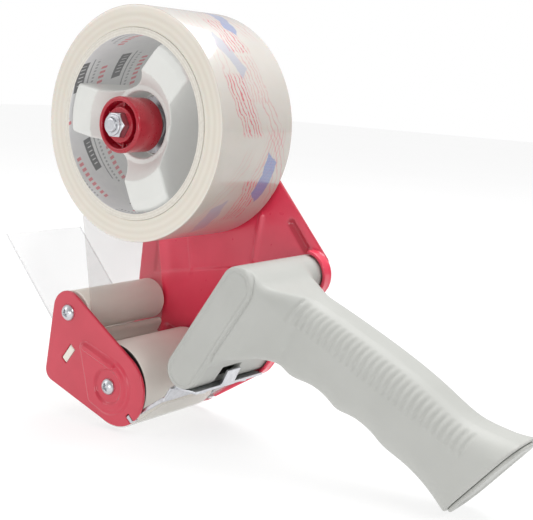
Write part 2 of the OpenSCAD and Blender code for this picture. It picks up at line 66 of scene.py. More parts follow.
ROLL = middle("tape_roll")
ORIGIN = np.array([ROLL.x, ROLL.y, 0.0])
HUB_Z = ROLL.z
ROLL_R = span("tape_roll").x / 2
CORE_RO = span("tape_core").x / 2
CORE_R = CORE_RO - 2.9
HALF_W = span("tape_roll").y / 2
APP = (middle("applicator_sleeve").x - ROLL.x, middle("applicator_sleeve").z)
APP_R = span("applicator_sleeve").x / 2
APP_L = span("applicator_sleeve").y / 2
GUIDE = (middle("guide_roller").x - ROLL.x, middle("guide_roller").z)
GUIDE_R = span("guide_roller").x / 2
YI = 27.0       # inner faces of the plates
SHEET = 1.5     # steel sheet
YO = YI + SHEET
PAD = 1.0       # height of the pressed panels
WEB_GAP = 0.3
WEB_T = 0.25

# corner circles of the pressed plates: x, z, radius
EAR_TOP = (-31, 48.8, 9.5)
EAR_FRONT = (-39.5, 19.4, 5.3)
EAR_LOW = (0.3, 19.6, 17.3)
SHOULDER = (-26.5, 78, 11.5)
HUB_EYE = (0, HUB_Z, 17)
HEAD_LOW = (35.5, 34.5, 8.5)
HEAD_TOP = (62.5, 75, 8.5)
BACK_LOW = (35.5, 34.5, 10.8)
BACK_TOP = (62.5, 75, 10.8)

# tab of the guide bar and hook of the blade bracket: middle, turn in degrees, half sizes
TAB, TAB_TURN, TAB_HALF = (-29.9, 29.2), 53, (4.4, 1.7)
HOOK, HOOK_TURN = (9.9, 7.6), -41.7
SCREW_HOLE = 2.1        # radius of the M4 clearance holes in the plates

# grip: origin of its own axes, slope in degrees, and the butt
GRIP_O = (75, 58)
GRIP_SLOPE = -24.5
GRIP_HALF = 14.0
WALL = 2.6      # wall of the hollow handle
HEAD_NEAR = 25.0                                 # near face of the head
RIB_FIRST, RIB_LAST, RIB_PITCH, RIB_DEPTH = 3.6, 92.6, 3.1, 0.6

BOLT_R = 3.0            # M6
M6_FLATS = 10.0
M4_R = 1.95
STRAP_T = 1.2           # steel of the blade bracket
BUTT_TOP = (181.4, 34.6)
BUTT_LOW = (152.6, 0.0)


def place(points):
    """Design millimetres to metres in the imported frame."""
    return (np.asarray(points, float) + ORIGIN) / 1000


# ---- mesh makers

def new_object(mesh, mat, body, slot, *stands_for):
    """Object named after its mesh, riding a body and standing for CAD nodes."""
    obj = bpy.data.objects.new(mesh.name, mesh)
    scene.collection.objects.link(obj)
    mesh.materials.append(mat)
    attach(obj, body)
    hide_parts(*stands_for)


def gradient(field, v, h):
    g = np.empty_like(v)
    for i in range(3):
        step = np.zeros(3)
        step[i] = h
        a, b = v + step, v - step
        g[:, i] = (field(a[:, 0], a[:, 1], a[:, 2]) - field(b[:, 0], b[:, 1], b[:, 2])) / (2 * h)
    return g


def field_mesh(name, field, lo, hi, cell):
    """Mesh of the surface where field(x, y, z) is zero; the field is negative inside."""
    lo = np.array(lo, float)
    n = np.ceil((np.array(hi, float) - lo) / cell).astype(int) + 1
    x, y, z = (lo[i] + cell * np.arange(n[i]) for i in range(3))
    d = field(x[:, None, None], y[None, :, None], z[None, None, :])
    d = np.broadcast_to(d, tuple(n)).astype(np.float32)
    inside = d < 0
    corners = [(i, j, k) for i in (0, 1) for j in (0, 1) for k in (0, 1)]
    count = sum(
        inside[i:n[0] - 1 + i, j:n[1] - 1 + j, k:n[2] - 1 + k].astype(np.int8)
        for i, j, k in corners
    )
    active = (count > 0) & (count < 8)
    base = np.argwhere(active)
    ids = np.full(active.shape, -1, np.int64)
    ids[active] = np.arange(len(base))
    total = np.zeros((len(base), 3))
    hits = np.zeros(len(base))
    for a in corners:
        for axis in range(3):
            if a[axis]:
                continue
            b = list(a)
            b[axis] = 1
            pa, pb = base + np.array(a), base + np.array(b)
            da = d[pa[:, 0], pa[:, 1], pa[:, 2]].astype(float)
            db = d[pb[:, 0], pb[:, 1], pb[:, 2]].astype(float)
            cross = (da < 0) != (db < 0)
            t = np.where(cross, da / np.where(cross, da - db, 1), 0)
            p = np.array(a, float) + t[:, None] * (np.array(b) - np.array(a))
            total += np.where(cross[:, None], p, 0)
            hits += cross
    v = lo + cell * (base + total / hits[:, None])
    for _ in range(3):
        g = gradient(field, v, 0.05)
        f = np.broadcast_to(field(v[:, 0], v[:, 1], v[:, 2]), len(v))
        step = g * (f / np.maximum((g * g).sum(1), 0.2))[:, None]
        size = np.linalg.norm(step, axis=1)[:, None]
        v = v - step * np.minimum(1, 0.5 * cell / np.maximum(size, 1e-9))
    faces = []
    for axis in range(3):
        u, w = (axis + 1) % 3, (axis + 2) % 3
        a = np.take(inside, range(0, n[axis] - 1), axis)
        b = np.take(inside, range(1, n[axis]), axis)
        p = np.argwhere(a != b)
        p = p[(p[:, u] > 0) & (p[:, u] < n[u] - 1) & (p[:, w] > 0) & (p[:, w] < n[w] - 1)]
        eu, ew = np.eye(3, dtype=int)[u], np.eye(3, dtype=int)[w]
        quad = np.stack([ids[tuple((p - e).T)] for e in (eu + ew, ew, 0 * ew, eu)], 1)
        outward = inside[tuple(p.T)]
        faces.append(np.where(outward[:, None], quad, quad[:, ::-1]))
    normals = gradient(field, v, 0.12)
    normals /= np.maximum(np.linalg.norm(normals, axis=1), 1e-9)[:, None]
    return finish_mesh(name, v, np.concatenate(faces), normals)


def finish_mesh(name, v, faces, normals=None):
    mesh = bpy.data.meshes.new(name)
    mesh.from_pydata(place(v).tolist(), [], faces.tolist() if hasattr(faces, "tolist") else faces)
    mesh.update()
    mesh.shade_smooth()
    if normals is not None:
        mesh.normals_split_custom_set_from_vertices(normals.tolist())
    return mesh


def turn_outward(mesh, sharp):
    """Point every normal outward and keep the edges over this angle sharp."""
    bm = bmesh.new()
    bm.from_mesh(mesh)
    bmesh.ops.recalc_face_normals(bm, faces=bm.faces)
    bm.to_mesh(mesh)
    bm.free()
    mesh.set_sharp_from_angle(angle=math.radians(sharp))


def join_meshes(name, parts):
    """One mesh from several made by the makers here."""
    bm = bmesh.new()
    for part in parts:
        bm.from_mesh(part)
    mesh = bpy.data.meshes.new(name)
    bm.to_mesh(mesh)
    bm.free()
    mesh.shade_smooth()
    mesh.set_sharp_from_angle(angle=math.radians(38))
    return mesh


def lathe(name, x, z, profile, segments):
    """Body of revolution about a Y axis; the profile is a list of radius and Y."""
    m = len(profile)
    v, faces = [], []
    for i in range(segments):
        a = 2 * math.pi * i / segments
        v += [(x + r * math.cos(a), y, z + r * math.sin(a)) for r, y in profile]
    for i in range(segments):
        k = (i + 1) % segments
        for j in range(m):
            q = (j + 1) % m
            faces.append((i * m + j, i * m + q, k * m + q, k * m + j))
    mesh = finish_mesh(name, v, faces)
    turn_outward(mesh, 32)
    return mesh


def rounded(points, r, steps=4):
    """A closed profile with each corner turned into an arc of about radius r."""
    out = []
    n = len(points)
    for i in range(n):
        p0, p, p1 = (np.array(points[(i + k) % n], float) for k in (-1, 0, 1))
        a, b = p0 - p, p1 - p
        la, lb = np.linalg.norm(a), np.linalg.norm(b)
        cut = min(r, 0.45 * la, 0.45 * lb)
        s, e = p + a / la * cut, p + b / lb * cut
        for k in range(steps + 1):
            t = k / steps
            out.append(tuple((1 - t) ** 2 * s + 2 * t * (1 - t) * p + t * t * e))
    return out


# ---- distance fields

def circle_d(x, z, c, r):
    return np.hypot(x - c[0], z - c[1]) - r


def link_d(x, z, a, b):
    """Two circles and the bar along their outer tangents."""
    bx, bz = b[0] - a[0], b[1] - a[1]
    h = math.hypot(bx, bz)
    ux, uz = bx / h, bz / h
    px, pz = x - a[0], z - a[1]
    v = px * ux + pz * uz
    u = np.abs(px * uz - pz * ux)
    k = (a[2] - b[2]) / h
    c = math.sqrt(1 - k * k)
    t = c * v - k * u
    side = c * u + k * v - a[2]
    end_a = np.hypot(u, v) - a[2]
    end_b = np.hypot(u, v - h) - b[2]
    return np.where(t < 0, end_a, np.where(t > c * h, end_b, side))


def polygon_d(x, z, pts):
    """Signed distance to a polygon."""
    pts = np.asarray(pts, float)
    best = None
    sign = None
    for p, q in zip(pts, np.roll(pts, -1, axis=0)):
        ex, ez = q - p
        wx, wz = x - p[0], z - p[1]
        t = np.clip((wx * ex + wz * ez) / (ex * ex + ez * ez), 0, 1)
        dist = (wx - ex * t) ** 2 + (wz - ez * t) ** 2
        best = dist if best is None else np.minimum(best, dist)
        c1, c2, c3 = z >= p[1], z < q[1], ex * wz > ez * wx
        flip = (c1 & c2 & c3) | (~c1 & ~c2 & ~c3)
        sign = np.where(flip, -1.0, 1.0) if sign is None else np.where(flip, -sign, sign)
    return np.sqrt(best) * sign


def curve_through(points, steps=6):
    """Catmull-Rom curve through a list of points."""
    p = np.asarray(points, float)
    p = np.vstack([2 * p[0] - p[1], p, 2 * p[-1] - p[-2]])
    out = []
    for i in range(1, len(p) - 2):
        for t in np.arange(steps) / steps:
            out.append(0.5 * (2 * p[i] + (p[i + 1] - p[i - 1]) * t
                              + (2 * p[i - 1] - 5 * p[i] + 4 * p[i + 1] - p[i + 2]) * t * t
                              + (3 * p[i] - p[i - 1] - 3 * p[i + 1] + p[i + 2]) * t ** 3))
    out.append(p[-2])
    return np.array(out)


def join_round(a, b, r):
    """Union with a concave fillet of about radius r."""
    return np.maximum(r, np.minimum(a, b)) - np.hypot(np.maximum(r - a, 0), np.maximum(r - b, 0))


def turned(x, z, centre, degrees):
    """Coordinates about a centre along axes turned by an angle."""
    c, s = math.cos(math.radians(degrees)), math.sin(math.radians(degrees))
    px, pz = x - centre[0], z - centre[1]
    return px * c + pz * s, pz * c - px * s


def meet(first, *others):
    """Part common to all the fields."""
    for d in others:
        first = np.maximum(first, d)
    return first


def smin(a, b, k):
    """Union blended over a width k."""
    h = np.maximum(k - np.abs(a - b), 0) / k
    return np.minimum(a, b) - h * h * k / 4


def smax(a, b, k):
    return -smin(-a, -b, k)


def slab(d2, dy, r):
    """Outline d2 limited by dy, with outside edges rounded to radius r."""
    a, b = d2 + r, dy + r
    return np.minimum(np.maximum(a, b), 0) + np.hypot(np.maximum(a, 0), np.maximum(b, 0)) - r


def step01(t):
    t = np.clip(t, 0, 1)
    return t * t * (3 - 2 * t)


def between(y, y0, y1):
    return np.abs(y - (y0 + y1) / 2) - (y1 - y0) / 2


# ---- materials

class Expr:
    """A value in a node tree, with arithmetic."""

    def __init__(self, tree, socket):
        self.tree, self.socket = tree, socket

    def op(self, kind, *others, clamp=False):
        node = self.tree.nodes.new("ShaderNodeMath")
        node.operation, node.use_clamp = kind, clamp
        for i, value in enumerate((self, *others)):
            if isinstance(value, Expr):
                self.tree.links.new(value.socket, node.inputs[i])
            else:
                node.inputs[i].default_value = value
        return Expr(self.tree, node.outputs[0])

    def __add__(self, o): return self.op("ADD", o)
    def __sub__(self, o): return self.op("SUBTRACT", o)
    def __mul__(self, o): return self.op("MULTIPLY", o)
    def __truediv__(self, o): return self.op("DIVIDE", o)
    def sin(self): return self.op("SINE")
    def abs(self): return self.op("ABSOLUTE")
    def fract(self): return self.op("FRACT")
    def clamp(self): return self.op("ADD", 0.0, clamp=True)
    def max(self, o): return self.op("MAXIMUM", o)

    def ramp(self, lo, hi):
        """0 at lo rising to 1 at hi."""
        return ((self - lo) / (hi - lo)).clamp()

    def band(self, lo, hi, soft):
        """1 between lo and hi, falling to 0 over soft."""
        return ((self - lo) / soft).clamp() * ((self * -1 + hi) / soft).clamp()


class Look:
    """A principled material built up from named features."""

    def __init__(self, name, color, rough, **values):
        self.mat = bpy.data.materials.new(name)
        self.mat.use_nodes = True
        self.tree = self.mat.node_tree
        self.shader = self.tree.nodes["Principled BSDF"]
        self.coords = self.tree.nodes.new("ShaderNodeTexCoord")
        self.color = color
        self.set("Base Color", (*color, 1))
        self.set("Roughness", rough)
        for key, value in values.items():
            self.set(key.replace("_", " ").title().replace("Ior", "IOR"), value)
        self.bump_input = None

    def set(self, socket, value):
        self.shader.inputs[socket].default_value = value

    def xyz(self):
        """Design millimetres at the shaded point."""
        node = self.tree.nodes.new("ShaderNodeSeparateXYZ")
        self.tree.links.new(self.coords.outputs["Object"], node.inputs[0])
        return [Expr(self.tree, node.outputs[i]) * 1000 - float(ORIGIN[i]) for i in range(3)]

    def noise(self, scale, detail=3, rough=0.55, stretch=None):
        """Noise from 0 to 1; scale counts features per metre."""
        node = self.tree.nodes.new("ShaderNodeTexNoise")
        node.inputs["Scale"].default_value = scale
        node.inputs["Detail"].default_value = detail
        node.inputs["Roughness"].default_value = rough
        source = self.coords.outputs["Object"]
        if stretch:
            mapping = self.tree.nodes.new("ShaderNodeMapping")
            mapping.inputs["Scale"].default_value = stretch
            self.tree.links.new(source, mapping.inputs["Vector"])
            source = mapping.outputs["Vector"]
        self.tree.links.new(source, node.inputs["Vector"])
        return Expr(self.tree, node.outputs["Fac"])

    def mix(self, under, over, amount):
        """Colour socket: over laid on under by amount."""
        node = self.tree.nodes.new("ShaderNodeMix")
        node.data_type = "RGBA"
        for key, value in (("A", under), ("B", over)):
            socket = [s for s in node.inputs if s.name == key and s.type == "RGBA"][0]
            if isinstance(value, tuple):
                socket.default_value = (*value, 1)
            else:
                self.tree.links.new(value, socket)
        self.tree.links.new(amount.socket, node.inputs["Factor"])
        return [s for s in node.outputs if s.type == "RGBA"][0]

    def paint(self, socket):
        self.tree.links.new(socket, self.shader.inputs["Base Color"])
        return self

    def vary(self, other, scale=90, lo=0.35, hi=0.7, **kind):
        """Clouds of another colour."""
        return self.paint(self.mix(self.color, other, self.noise(scale, **kind).ramp(lo, hi)))

    def roughen(self, lo, hi, scale=140, **kind):
        value = self.noise(scale, **kind) * (hi - lo) + lo
        self.tree.links.new(value.socket, self.shader.inputs["Roughness"])
        return self

    def bump(self, height, distance, strength=1.0):
        """height is an Expr from 0 to 1 and distance its depth in metres."""
        node = self.tree.nodes.new("ShaderNodeBump")
        node.inputs["Strength"].default_value = strength
        node.inputs["Distance"].default_value = distance
        self.tree.links.new(height.socket, node.inputs["Height"])
        if self.bump_input is not None:
            self.tree.links.new(self.bump_input, node.inputs["Normal"])
        self.bump_input = node.outputs["Normal"]
        self.tree.links.new(self.bump_input, self.shader.inputs["Normal"])
        return self

    def grain(self, scale, depth, strength):
        """Fine texture of the surface."""
        return self.bump(self.noise(scale, detail=2), depth, strength)


def angle_about(look, x, z):
    px, _, pz = look.xyz()
    return (pz - z).op("ARCTAN2", px - x)


def radius_about(look, x, z):
    px, _, pz = look.xyz()
    a, b = px - x, pz - z
    return (a * a + b * b).op("SQRT")


def red_enamel(name, inner, dark):
    """Stoved enamel. Painted light: the side frame's inner face gets a lighter red than its plain outer
    face, to brighten it where the roll and handle shade it.
    """
    look = Look(name, inner, 0.32, coat_weight=0.4, coat_roughness=0.10)
    _, y, _ = look.xyz()
    clouds_and_painted_light = look.mix(inner, dark, look.noise(60).ramp(0.35, 0.7))
    # painted light: the inner face keeps the lighter red, the outer face past YI + 1 takes the plain darker
    # enamel
    look.paint(look.mix(clouds_and_painted_light, (0.52, 0.022, 0.050), y.ramp(YI + 0.9, YI + 1.1)))
    look.roughen(0.24, 0.36, 220)
    # orange peel of the stoved paint
    look.grain(900, 0.00003, 0.5)
    return look.mat


def grey_moulding():
    look = Look("grey_moulding", (0.48, 0.485, 0.46), 0.45, specular_ior_level=0.3)
    look.vary((0.455, 0.46, 0.435), 45)
    look.roughen(0.38, 0.52, 300)
    # fine spark-eroded grain of the mould
    look.grain(2600, 0.00003, 0.55)
    return look.mat


def white_moulding():
    look = Look("white_moulding", (0.60, 0.605, 0.58), 0.33, specular_ior_level=0.4)
    look.vary((0.57, 0.575, 0.55), 70)
    # painted light: a faint glow brightens the hub where the roll shades it
    look.set("Emission Color", (0.62, 0.62, 0.60, 1))
    look.set("Emission Strength", 0.20)
    look.roughen(0.26, 0.38, 260)
    look.grain(1500, 0.00002, 0.4)
    return look.mat


def knob_moulding():
    look = Look("knob_moulding", (0.42, 0.006, 0.022), 0.3, coat_weight=0.3, coat_roughness=0.1)
    look.vary((0.36, 0.005, 0.018), 120)
    look.roughen(0.22, 0.36, 400)
    look.grain(1800, 0.00002, 0.4)
    return look.mat


def roller_moulding(name, color, dark, shaded_end=None):
    look = Look(name, color, 0.45)
    clouds_and_painted_light = look.mix(color, dark, look.noise(35).ramp(0.35, 0.7))
    # painted shade: the sleeve's ends are painted near black for the shadow gap between the sleeve and the
    # ears
    if shaded_end:
        _, y, _ = look.xyz()
        clouds_and_painted_light = look.mix(clouds_and_painted_light, (0.03, 0.028, 0.026), y.abs().ramp(shaded_end, shaded_end + 0.2))
    look.paint(clouds_and_painted_light)
    look.roughen(0.4, 0.55, 240)
    # faint turning marks round the roller
    look.bump(look.noise(60, detail=4, stretch=(1, 28, 1)), 0.00004, 0.5)
    return look.mat


def steel(name, color, lo, hi, stretch=(1, 1, 1)):
    look = Look(name, color, lo, metallic=1.0)
    look.vary(tuple(c * 0.82 for c in color), 500, stretch=stretch)
    look.roughen(lo, hi, 900, stretch=stretch)
    look.bump(look.noise(1600, detail=3, stretch=stretch), 0.00002, 0.4)
    return look.mat


def friction_fibre():
    look = Look("friction_fibre", (0.10, 0.055, 0.03), 0.8)
    look.vary((0.19, 0.11, 0.06), 1400, detail=5)
    look.bump(look.noise(2200, detail=4), 0.00008, 0.7)
    return look.mat


def nylon():
    look = Look("bush_nylon", (0.70, 0.69, 0.62), 0.4, subsurface_weight=0.1)
    look.vary((0.64, 0.63, 0.56), 150)
    look.grain(1200, 0.00002, 0.4)
    return look.mat


def core_liner():
    """Wound board with a printed paper liner of plain blocks and bars."""
    look = Look("core_board", (0.56, 0.52, 0.45), 0.6)
    turn = angle_about(look, 0, HUB_Z) * (CORE_R)
    r = radius_about(look, 0, HUB_Z)
    _, y, _ = look.xyz()
    fibre = look.noise(700, detail=5, stretch=(1, 1, 1))
    board = look.mix(look.color, (0.64, 0.61, 0.54), fibre.ramp(0.35, 0.65))
    # plies of the board in the end face
    plies = ((r * 5.2).sin() * 0.5 + 0.5) * 0.35 + r.ramp(CORE_RO - 0.35, CORE_RO - 0.1) * 0.5
    board = look.mix(board, (0.40, 0.37, 0.31), plies.clamp())
    # painted light: a faint glow brightens the liner where the roll shades it
    look.set("Emission Color", (0.6, 0.6, 0.6, 1))
    look.set("Emission Strength", 0.20)
    # printed liner on the inside wall: slanted rows of plain marks
    row = turn + y * 0.42
    cell = (row / 39.9).fract() * 39.9
    white = (0.60, 0.60, 0.60)
    paper = look.mix((0.56, 0.56, 0.57), white, look.noise(260).ramp(0.3, 0.7))
    wobble = look.noise(1500, detail=2) * 0.5
    line_y = y + turn * -0.16
    lane = ((line_y + 400) / 21.0).fract() * 21.0 + wobble
    block = cell.band(3, 19, 0.3) * lane.band(2.2, 7.4, 0.3)
    nick = (cell / 2.1).fract().band(0.30, 0.62, 0.05) * lane.band(3.6, 6.4, 0.3) * cell.band(5, 17, 0.2)
    bar = cell.band(2, 27, 0.3) * lane.band(9.0, 9.9, 0.2)
    dash = (cell / 1.9).fract().band(0.15, 0.75, 0.08) * lane.band(11.4, 12.9, 0.2) * cell.band(3, 30, 0.2)
    red = (cell / 2.8).fract().band(0.12, 0.72, 0.06) * lane.band(15.2, 18.4, 0.3) * cell.band(8, 34, 0.2)
    ink = look.mix(paper, (0.014, 0.014, 0.016), (block * ((nick * -0.8) + 1)).clamp())
    ink = look.mix(ink, (0.10, 0.10, 0.11), (bar * 0.8).clamp())
    ink = look.mix(ink, (0.16, 0.16, 0.17), (dash * 0.75).clamp())
    ink = look.mix(ink, (0.55, 0.03, 0.05), (red * 0.85).clamp())
    look.paint(look.mix(ink, board, r.ramp(CORE_R + 0.06, CORE_R + 0.12)))
    look.bump(fibre, 0.00006, 0.5)
    return look.mat


def print_on_film(look, base, turn, y, strength):
    """Groups of wavy pale red bars and pale blue hatched patches, four to a turn."""
    wave = look.noise(150, detail=2)
    fine = look.noise(900, detail=2)
    lane = y + (turn * 0.062).sin() * 4.5 + wave * 5 - 2.5
    pitch = 2 * math.pi * ROLL_R / 4
    cell = ((turn + 1000) / pitch).fract() * pitch
    slant = lane + cell * 0.16 - 6
    bars = (slant / 2.15).fract().band(0.16, 0.62, 0.14) * slant.band(-8.5, 5.5, 1.2)
    bars = bars * (cell.band(4, 28, 1.5) + cell.band(46, 74, 2.0)).clamp()
    bars = bars * fine.ramp(0.30, 0.46)
    second = ((slant + cell * 0.2) / 3.1).fract().band(0.2, 0.5, 0.12)
    second = second * slant.band(9, 19, 1.5) * cell.band(12, 66, 6)
    patch = (slant - cell * 0.35).band(-7.5, 0.5, 0.5) * (cell + slant * 0.9).band(20, 47, 0.8)
    hatch = (((turn * 1.4).fract() - 0.5).abs() + ((y * 1.4 + 100).fract() - 0.5).abs()).ramp(0.2, 0.75)
    bars = bars * ((patch * -1) + 1)
    color = look.mix(base, (0.60, 0.07, 0.12), (bars * 0.80 * strength).clamp())
    color = look.mix(color, (0.60, 0.12, 0.16), (second * 0.5 * strength).clamp())
    return look.mix(color, (0.10, 0.17, 0.44), (patch * (hatch * 0.4 + 0.5) * strength).clamp())


def wound_film():
    """The wound roll: cream end faces with fine turns, printed gloss on the outside."""
    look = Look("tape_film", (0.62, 0.58, 0.50), 0.30, coat_weight=0.7, coat_roughness=0.04,
                subsurface_weight=0.12, subsurface_scale=0.004)
    turn = angle_about(look, 0, HUB_Z) * ROLL_R
    r = radius_about(look, 0, HUB_Z)
    _, y, _ = look.xyz()
    cloud = look.noise(55, detail=4)
    rings = (r * 2.1 + look.noise(30) * 3).sin() * 0.5 + 0.5
    fine = (r * 11.0).sin() * 0.5 + 0.5
    side = look.mix((0.66, 0.605, 0.52), (0.74, 0.70, 0.62), (rings * 0.55 + cloud * 0.45).clamp())
    side = look.mix(side, (0.74, 0.71, 0.65), (r.ramp(ROLL_R - 1.6, ROLL_R - 0.3) * 0.8).clamp())
    # ends of the turns are a touch lighter in patches where air lies between them
    band = look.mix((0.45, 0.41, 0.36), (0.56, 0.52, 0.475), (cloud * 1.5 - 0.3).clamp())
    band = look.mix(band, (0.74, 0.71, 0.67), (((turn * 0.055).sin() * 0.5 + 0.5) * 0.5).clamp())
    deeper = print_on_film(look, band, turn * 1.02 + 23, y * -1 + 2, 0.42)
    band = print_on_film(look, deeper, turn, y, 1.0)
    outer = r.ramp(ROLL_R - 0.35, ROLL_R - 0.15)
    look.paint(look.mix(side, band, outer))
    look.bump((fine * 0.5 + look.noise(700) * 0.5) * ((outer * -1) + 1), 0.00005, 0.5)
    look.grain(26, 0.0012, 0.16)
    return look.mat


def web_film():
    """Single film between the rollers: pale, glossy and half clear."""
    look = Look("web_film", (0.46, 0.45, 0.43), 0.15)
    haze = look.noise(60, detail=4)
    look.vary((0.52, 0.51, 0.49), 40)
    alpha = haze * 0.06 + 0.15
    look.tree.links.new(alpha.socket, look.shader.inputs["Alpha"])
    look.grain(45, 0.0008, 0.25)
    return look.mat


def flap_film():
    look = Look("flap_film", (0.46, 0.47, 0.48), 0.12)
    haze = look.noise(40, detail=3)
    look.vary((0.52, 0.53, 0.54), 30)
    _, y, _ = look.xyz()
    edge = y.abs().ramp(HALF_W - 0.8, HALF_W - 0.2)
    alpha = (haze * 0.05 + 0.12 + edge * 0.22).clamp()
    look.tree.links.new(alpha.socket, look.shader.inputs["Alpha"])
    look.grain(30, 0.0008, 0.2)
    return look.mat


# painted light: the side frame's red is a lighter copy of the ear's, for its shaded inner face
SIDE_RED_PAINTED_LIGHT = red_enamel("red_enamel", (0.82, 0.050, 0.105), (0.76, 0.042, 0.090))
EAR_RED = red_enamel("red_enamel_ear", (0.58, 0.030, 0.062), (0.53, 0.024, 0.052))
GREY = grey_moulding()
WHITE = white_moulding()
KNOB = knob_moulding()
BEIGE = roller_moulding("beige_roller", (0.86, 0.81, 0.73), (0.82, 0.77, 0.69))
# painted shade on the sleeve's ends, for the shadow gap beside the ears
SLEEVE = roller_moulding("sleeve_rubber", (0.88, 0.85, 0.78), (0.85, 0.81, 0.74), shaded_end=24.1)
BAR = roller_moulding("guide_bar_moulding", (0.82, 0.77, 0.69), (0.78, 0.73, 0.65))
CORE_DARK = roller_moulding("roller_core", (0.05, 0.048, 0.045), (0.08, 0.076, 0.07))
ZINC = steel("zinc_steel", (0.66, 0.67, 0.70), 0.22, 0.40)
BLADE = steel("blade_steel", (0.70, 0.71, 0.73), 0.16, 0.34, stretch=(1, 0.15, 1))
FIBRE = friction_fibre()
NYLON = nylon()
LINER = core_liner()
ROLL_FILM = wound_film()
WEB_FILM = web_film()
FLAP_FILM = flap_film()


# ---- handle

def grip_axes(x, z):
    """Distance along the grip and across it."""
    return turned(x, z, GRIP_O, GRIP_SLOPE)


BACK_LINE = curve_through([(60, 77.5), (64, 79), (70, 78.4), (76, 76.3), (85.9, 72.2), (100.8, 66.4),
                           (116.5, 59.9), (131.1, 53.3), (142.6, 47.3), (153.9, 40.6), (161.2, 37.4),
                           (170.3, 35.6), (177.6, 34.7), (190, 33.9)], 3)
KNUCKLES = [(82.5, 36.7), (102.7, 28.4), (125.1, 18.8), (154, -0.4)]
NECK_LINE = [(78.8, 38.2), (75.4, 40.4), (72, 42.6), (67.5, 44.6), (62, 44), (50, 41.5)]
GRIP_OUTLINE = np.vstack([BACK_LINE, [(190, -0.4), *KNUCKLES[::-1], *NECK_LINE]])


def grip_outline_d(x, z):
    d = polygon_d(x, z, GRIP_OUTLINE)
    # finger grooves between the knuckles
    for (p, q), sag in zip(zip(KNUCKLES, KNUCKLES[1:]), (2.5, 2.7, 2.7)):
        p, q = np.array(p), np.array(q)
        c = np.linalg.norm(q - p)
        r = c * c / (8 * sag) + sag / 2
        n = np.array([q[1] - p[1], p[0] - q[0]]) / c
        centre = (p + q) / 2 + n * (r - sag)
        d = smax(d, -circle_d(x, z, centre, r), 1.6)
    return d


def butt_axes(x, z):
    """Distance down the butt face from its top, and past the face."""
    bx, bz = BUTT_LOW[0] - BUTT_TOP[0], BUTT_LOW[1] - BUTT_TOP[1]
    b = math.hypot(bx, bz)
    px, pz = x - BUTT_TOP[0], z - BUTT_TOP[1]
    return (px * bx + pz * bz) / b, (px * -bz + pz * bx) / b


def handle_field(x, y, z):
    u, v = grip_axes(x, z)
    head2 = link_d(x, z, HEAD_LOW, HEAD_TOP)
    head = slab(head2, between(y, -HEAD_NEAR, YI - 0.05), 1.4)
    # neck, as wide as the head and drawn in to the width of the grip
    draw = step01((u + 7.5) / 16)
    flare = step01((u - 98) / 18) * 1.0
    wide = HEAD_NEAR - 0.5
    near = wide + (GRIP_HALF - wide) * draw + flare
    far = GRIP_HALF + flare
    r = 4.5 + 6.5 * step01((u + 9) / 15) - 4.5 * step01((u - 98) / 19)
    grip = slab(grip_outline_d(x, z), np.maximum(-y - near, y - far), r)
    # short ribs along the shoulders of the back
    ribs = (0.5 + 0.5 * np.cos(2 * math.pi * (u - RIB_FIRST) / RIB_PITCH)) ** 1.4
    ribs = ribs * step01((u - RIB_FIRST + 1) / 1.5) * step01((RIB_LAST - u) / 1.5) * step01((v - 6.6) / 1.6)
    ribs = ribs * step01((np.abs(y) - 7.4) / 3.2)
    grip = smax(grip + RIB_DEPTH * ribs, butt_axes(x, z)[1], 1.2)
    grip = smax(grip, -z, 0.8)
    d = smin(head, grip, 6.0)
    # rim, grooves and sunk panel of the near face
    face = step01((-y - 22.3) / 1.8)
    d = d + 0.5 * np.exp(-((head2 + 2.3) / 0.5) ** 2) * face
    d = d + 0.75 * np.exp(-((head2 - 0.1) / 0.55) ** 2) * face * step01((x - 40 - 0.6 * (z - 40)) / 6)
    d = d + 0.25 * step01((-head2 - 2.3) / 0.8) * face
    # hollow of the head
    low, top = (tuple(np.subtract(c, (0, 0, WALL))) for c in (HEAD_LOW, HEAD_TOP))
    hollow = slab(link_d(x, z, low, top), between(y, -22.2, YI + 4), 0.8)
    d = smax(d, -hollow, 0.5)
    # notch over the tongue of the blade bracket, rounded at the top
    notch = np.minimum(circle_d(x, z, (44, 31), 5), np.maximum(np.abs(x - 44) - 5, between(z, 18, 31)))
    d = smax(d, -np.maximum(notch, between(y, -10, 3)), 0.5)
    # seat of the blade strap
    seat = meet(between(x, 24, 43.6), between(z, 18, 26.6), -24.2 - y)
    return smax(d, -seat, 0.4)


new_object(
    field_mesh("handle_moulding", handle_field, (25, -27, -2), (185, 29, 86), 0.62),
    GREY, "frame", "grey_moulding", "handle",
)


# ---- pressed plates

def ear_outline_d(x, z):
    d = np.minimum(link_d(x, z, EAR_TOP, EAR_FRONT), link_d(x, z, EAR_FRONT, EAR_LOW))
    d = np.minimum(d, link_d(x, z, EAR_LOW, EAR_TOP))
    return np.minimum(d, polygon_d(x, z, [EAR_TOP[:2], EAR_FRONT[:2], EAR_LOW[:2]]))


def frame_outline_d(x, z):
    d = ear_outline_d(x, z)
    ring = [EAR_TOP, SHOULDER, HUB_EYE, BACK_TOP, BACK_LOW, EAR_LOW]
    for a, b in zip(ring, ring[1:]):
        d = np.minimum(d, link_d(x, z, a, b))
    return np.minimum(d, polygon_d(x, z, [c[:2] for c in ring]))


def pad_d(x, z):
    d = np.minimum(link_d(x, z, (-19, 34, 3), (*APP, 12.8)), link_d(x, z, (-13, 12.6, 3), (*APP, 12.8)))
    return np.minimum(d, polygon_d(x, z, [(-22, 34), (-16, 12.6), APP]))


def segment_d(x, z, p, q):
    ex, ez = q[0] - p[0], q[1] - p[1]
    t = np.clip(((x - p[0]) * ex + (z - p[1]) * ez) / (ex * ex + ez * ez), 0, 1)
    return np.hypot(x - p[0] - ex * t, z - p[1] - ez * t)


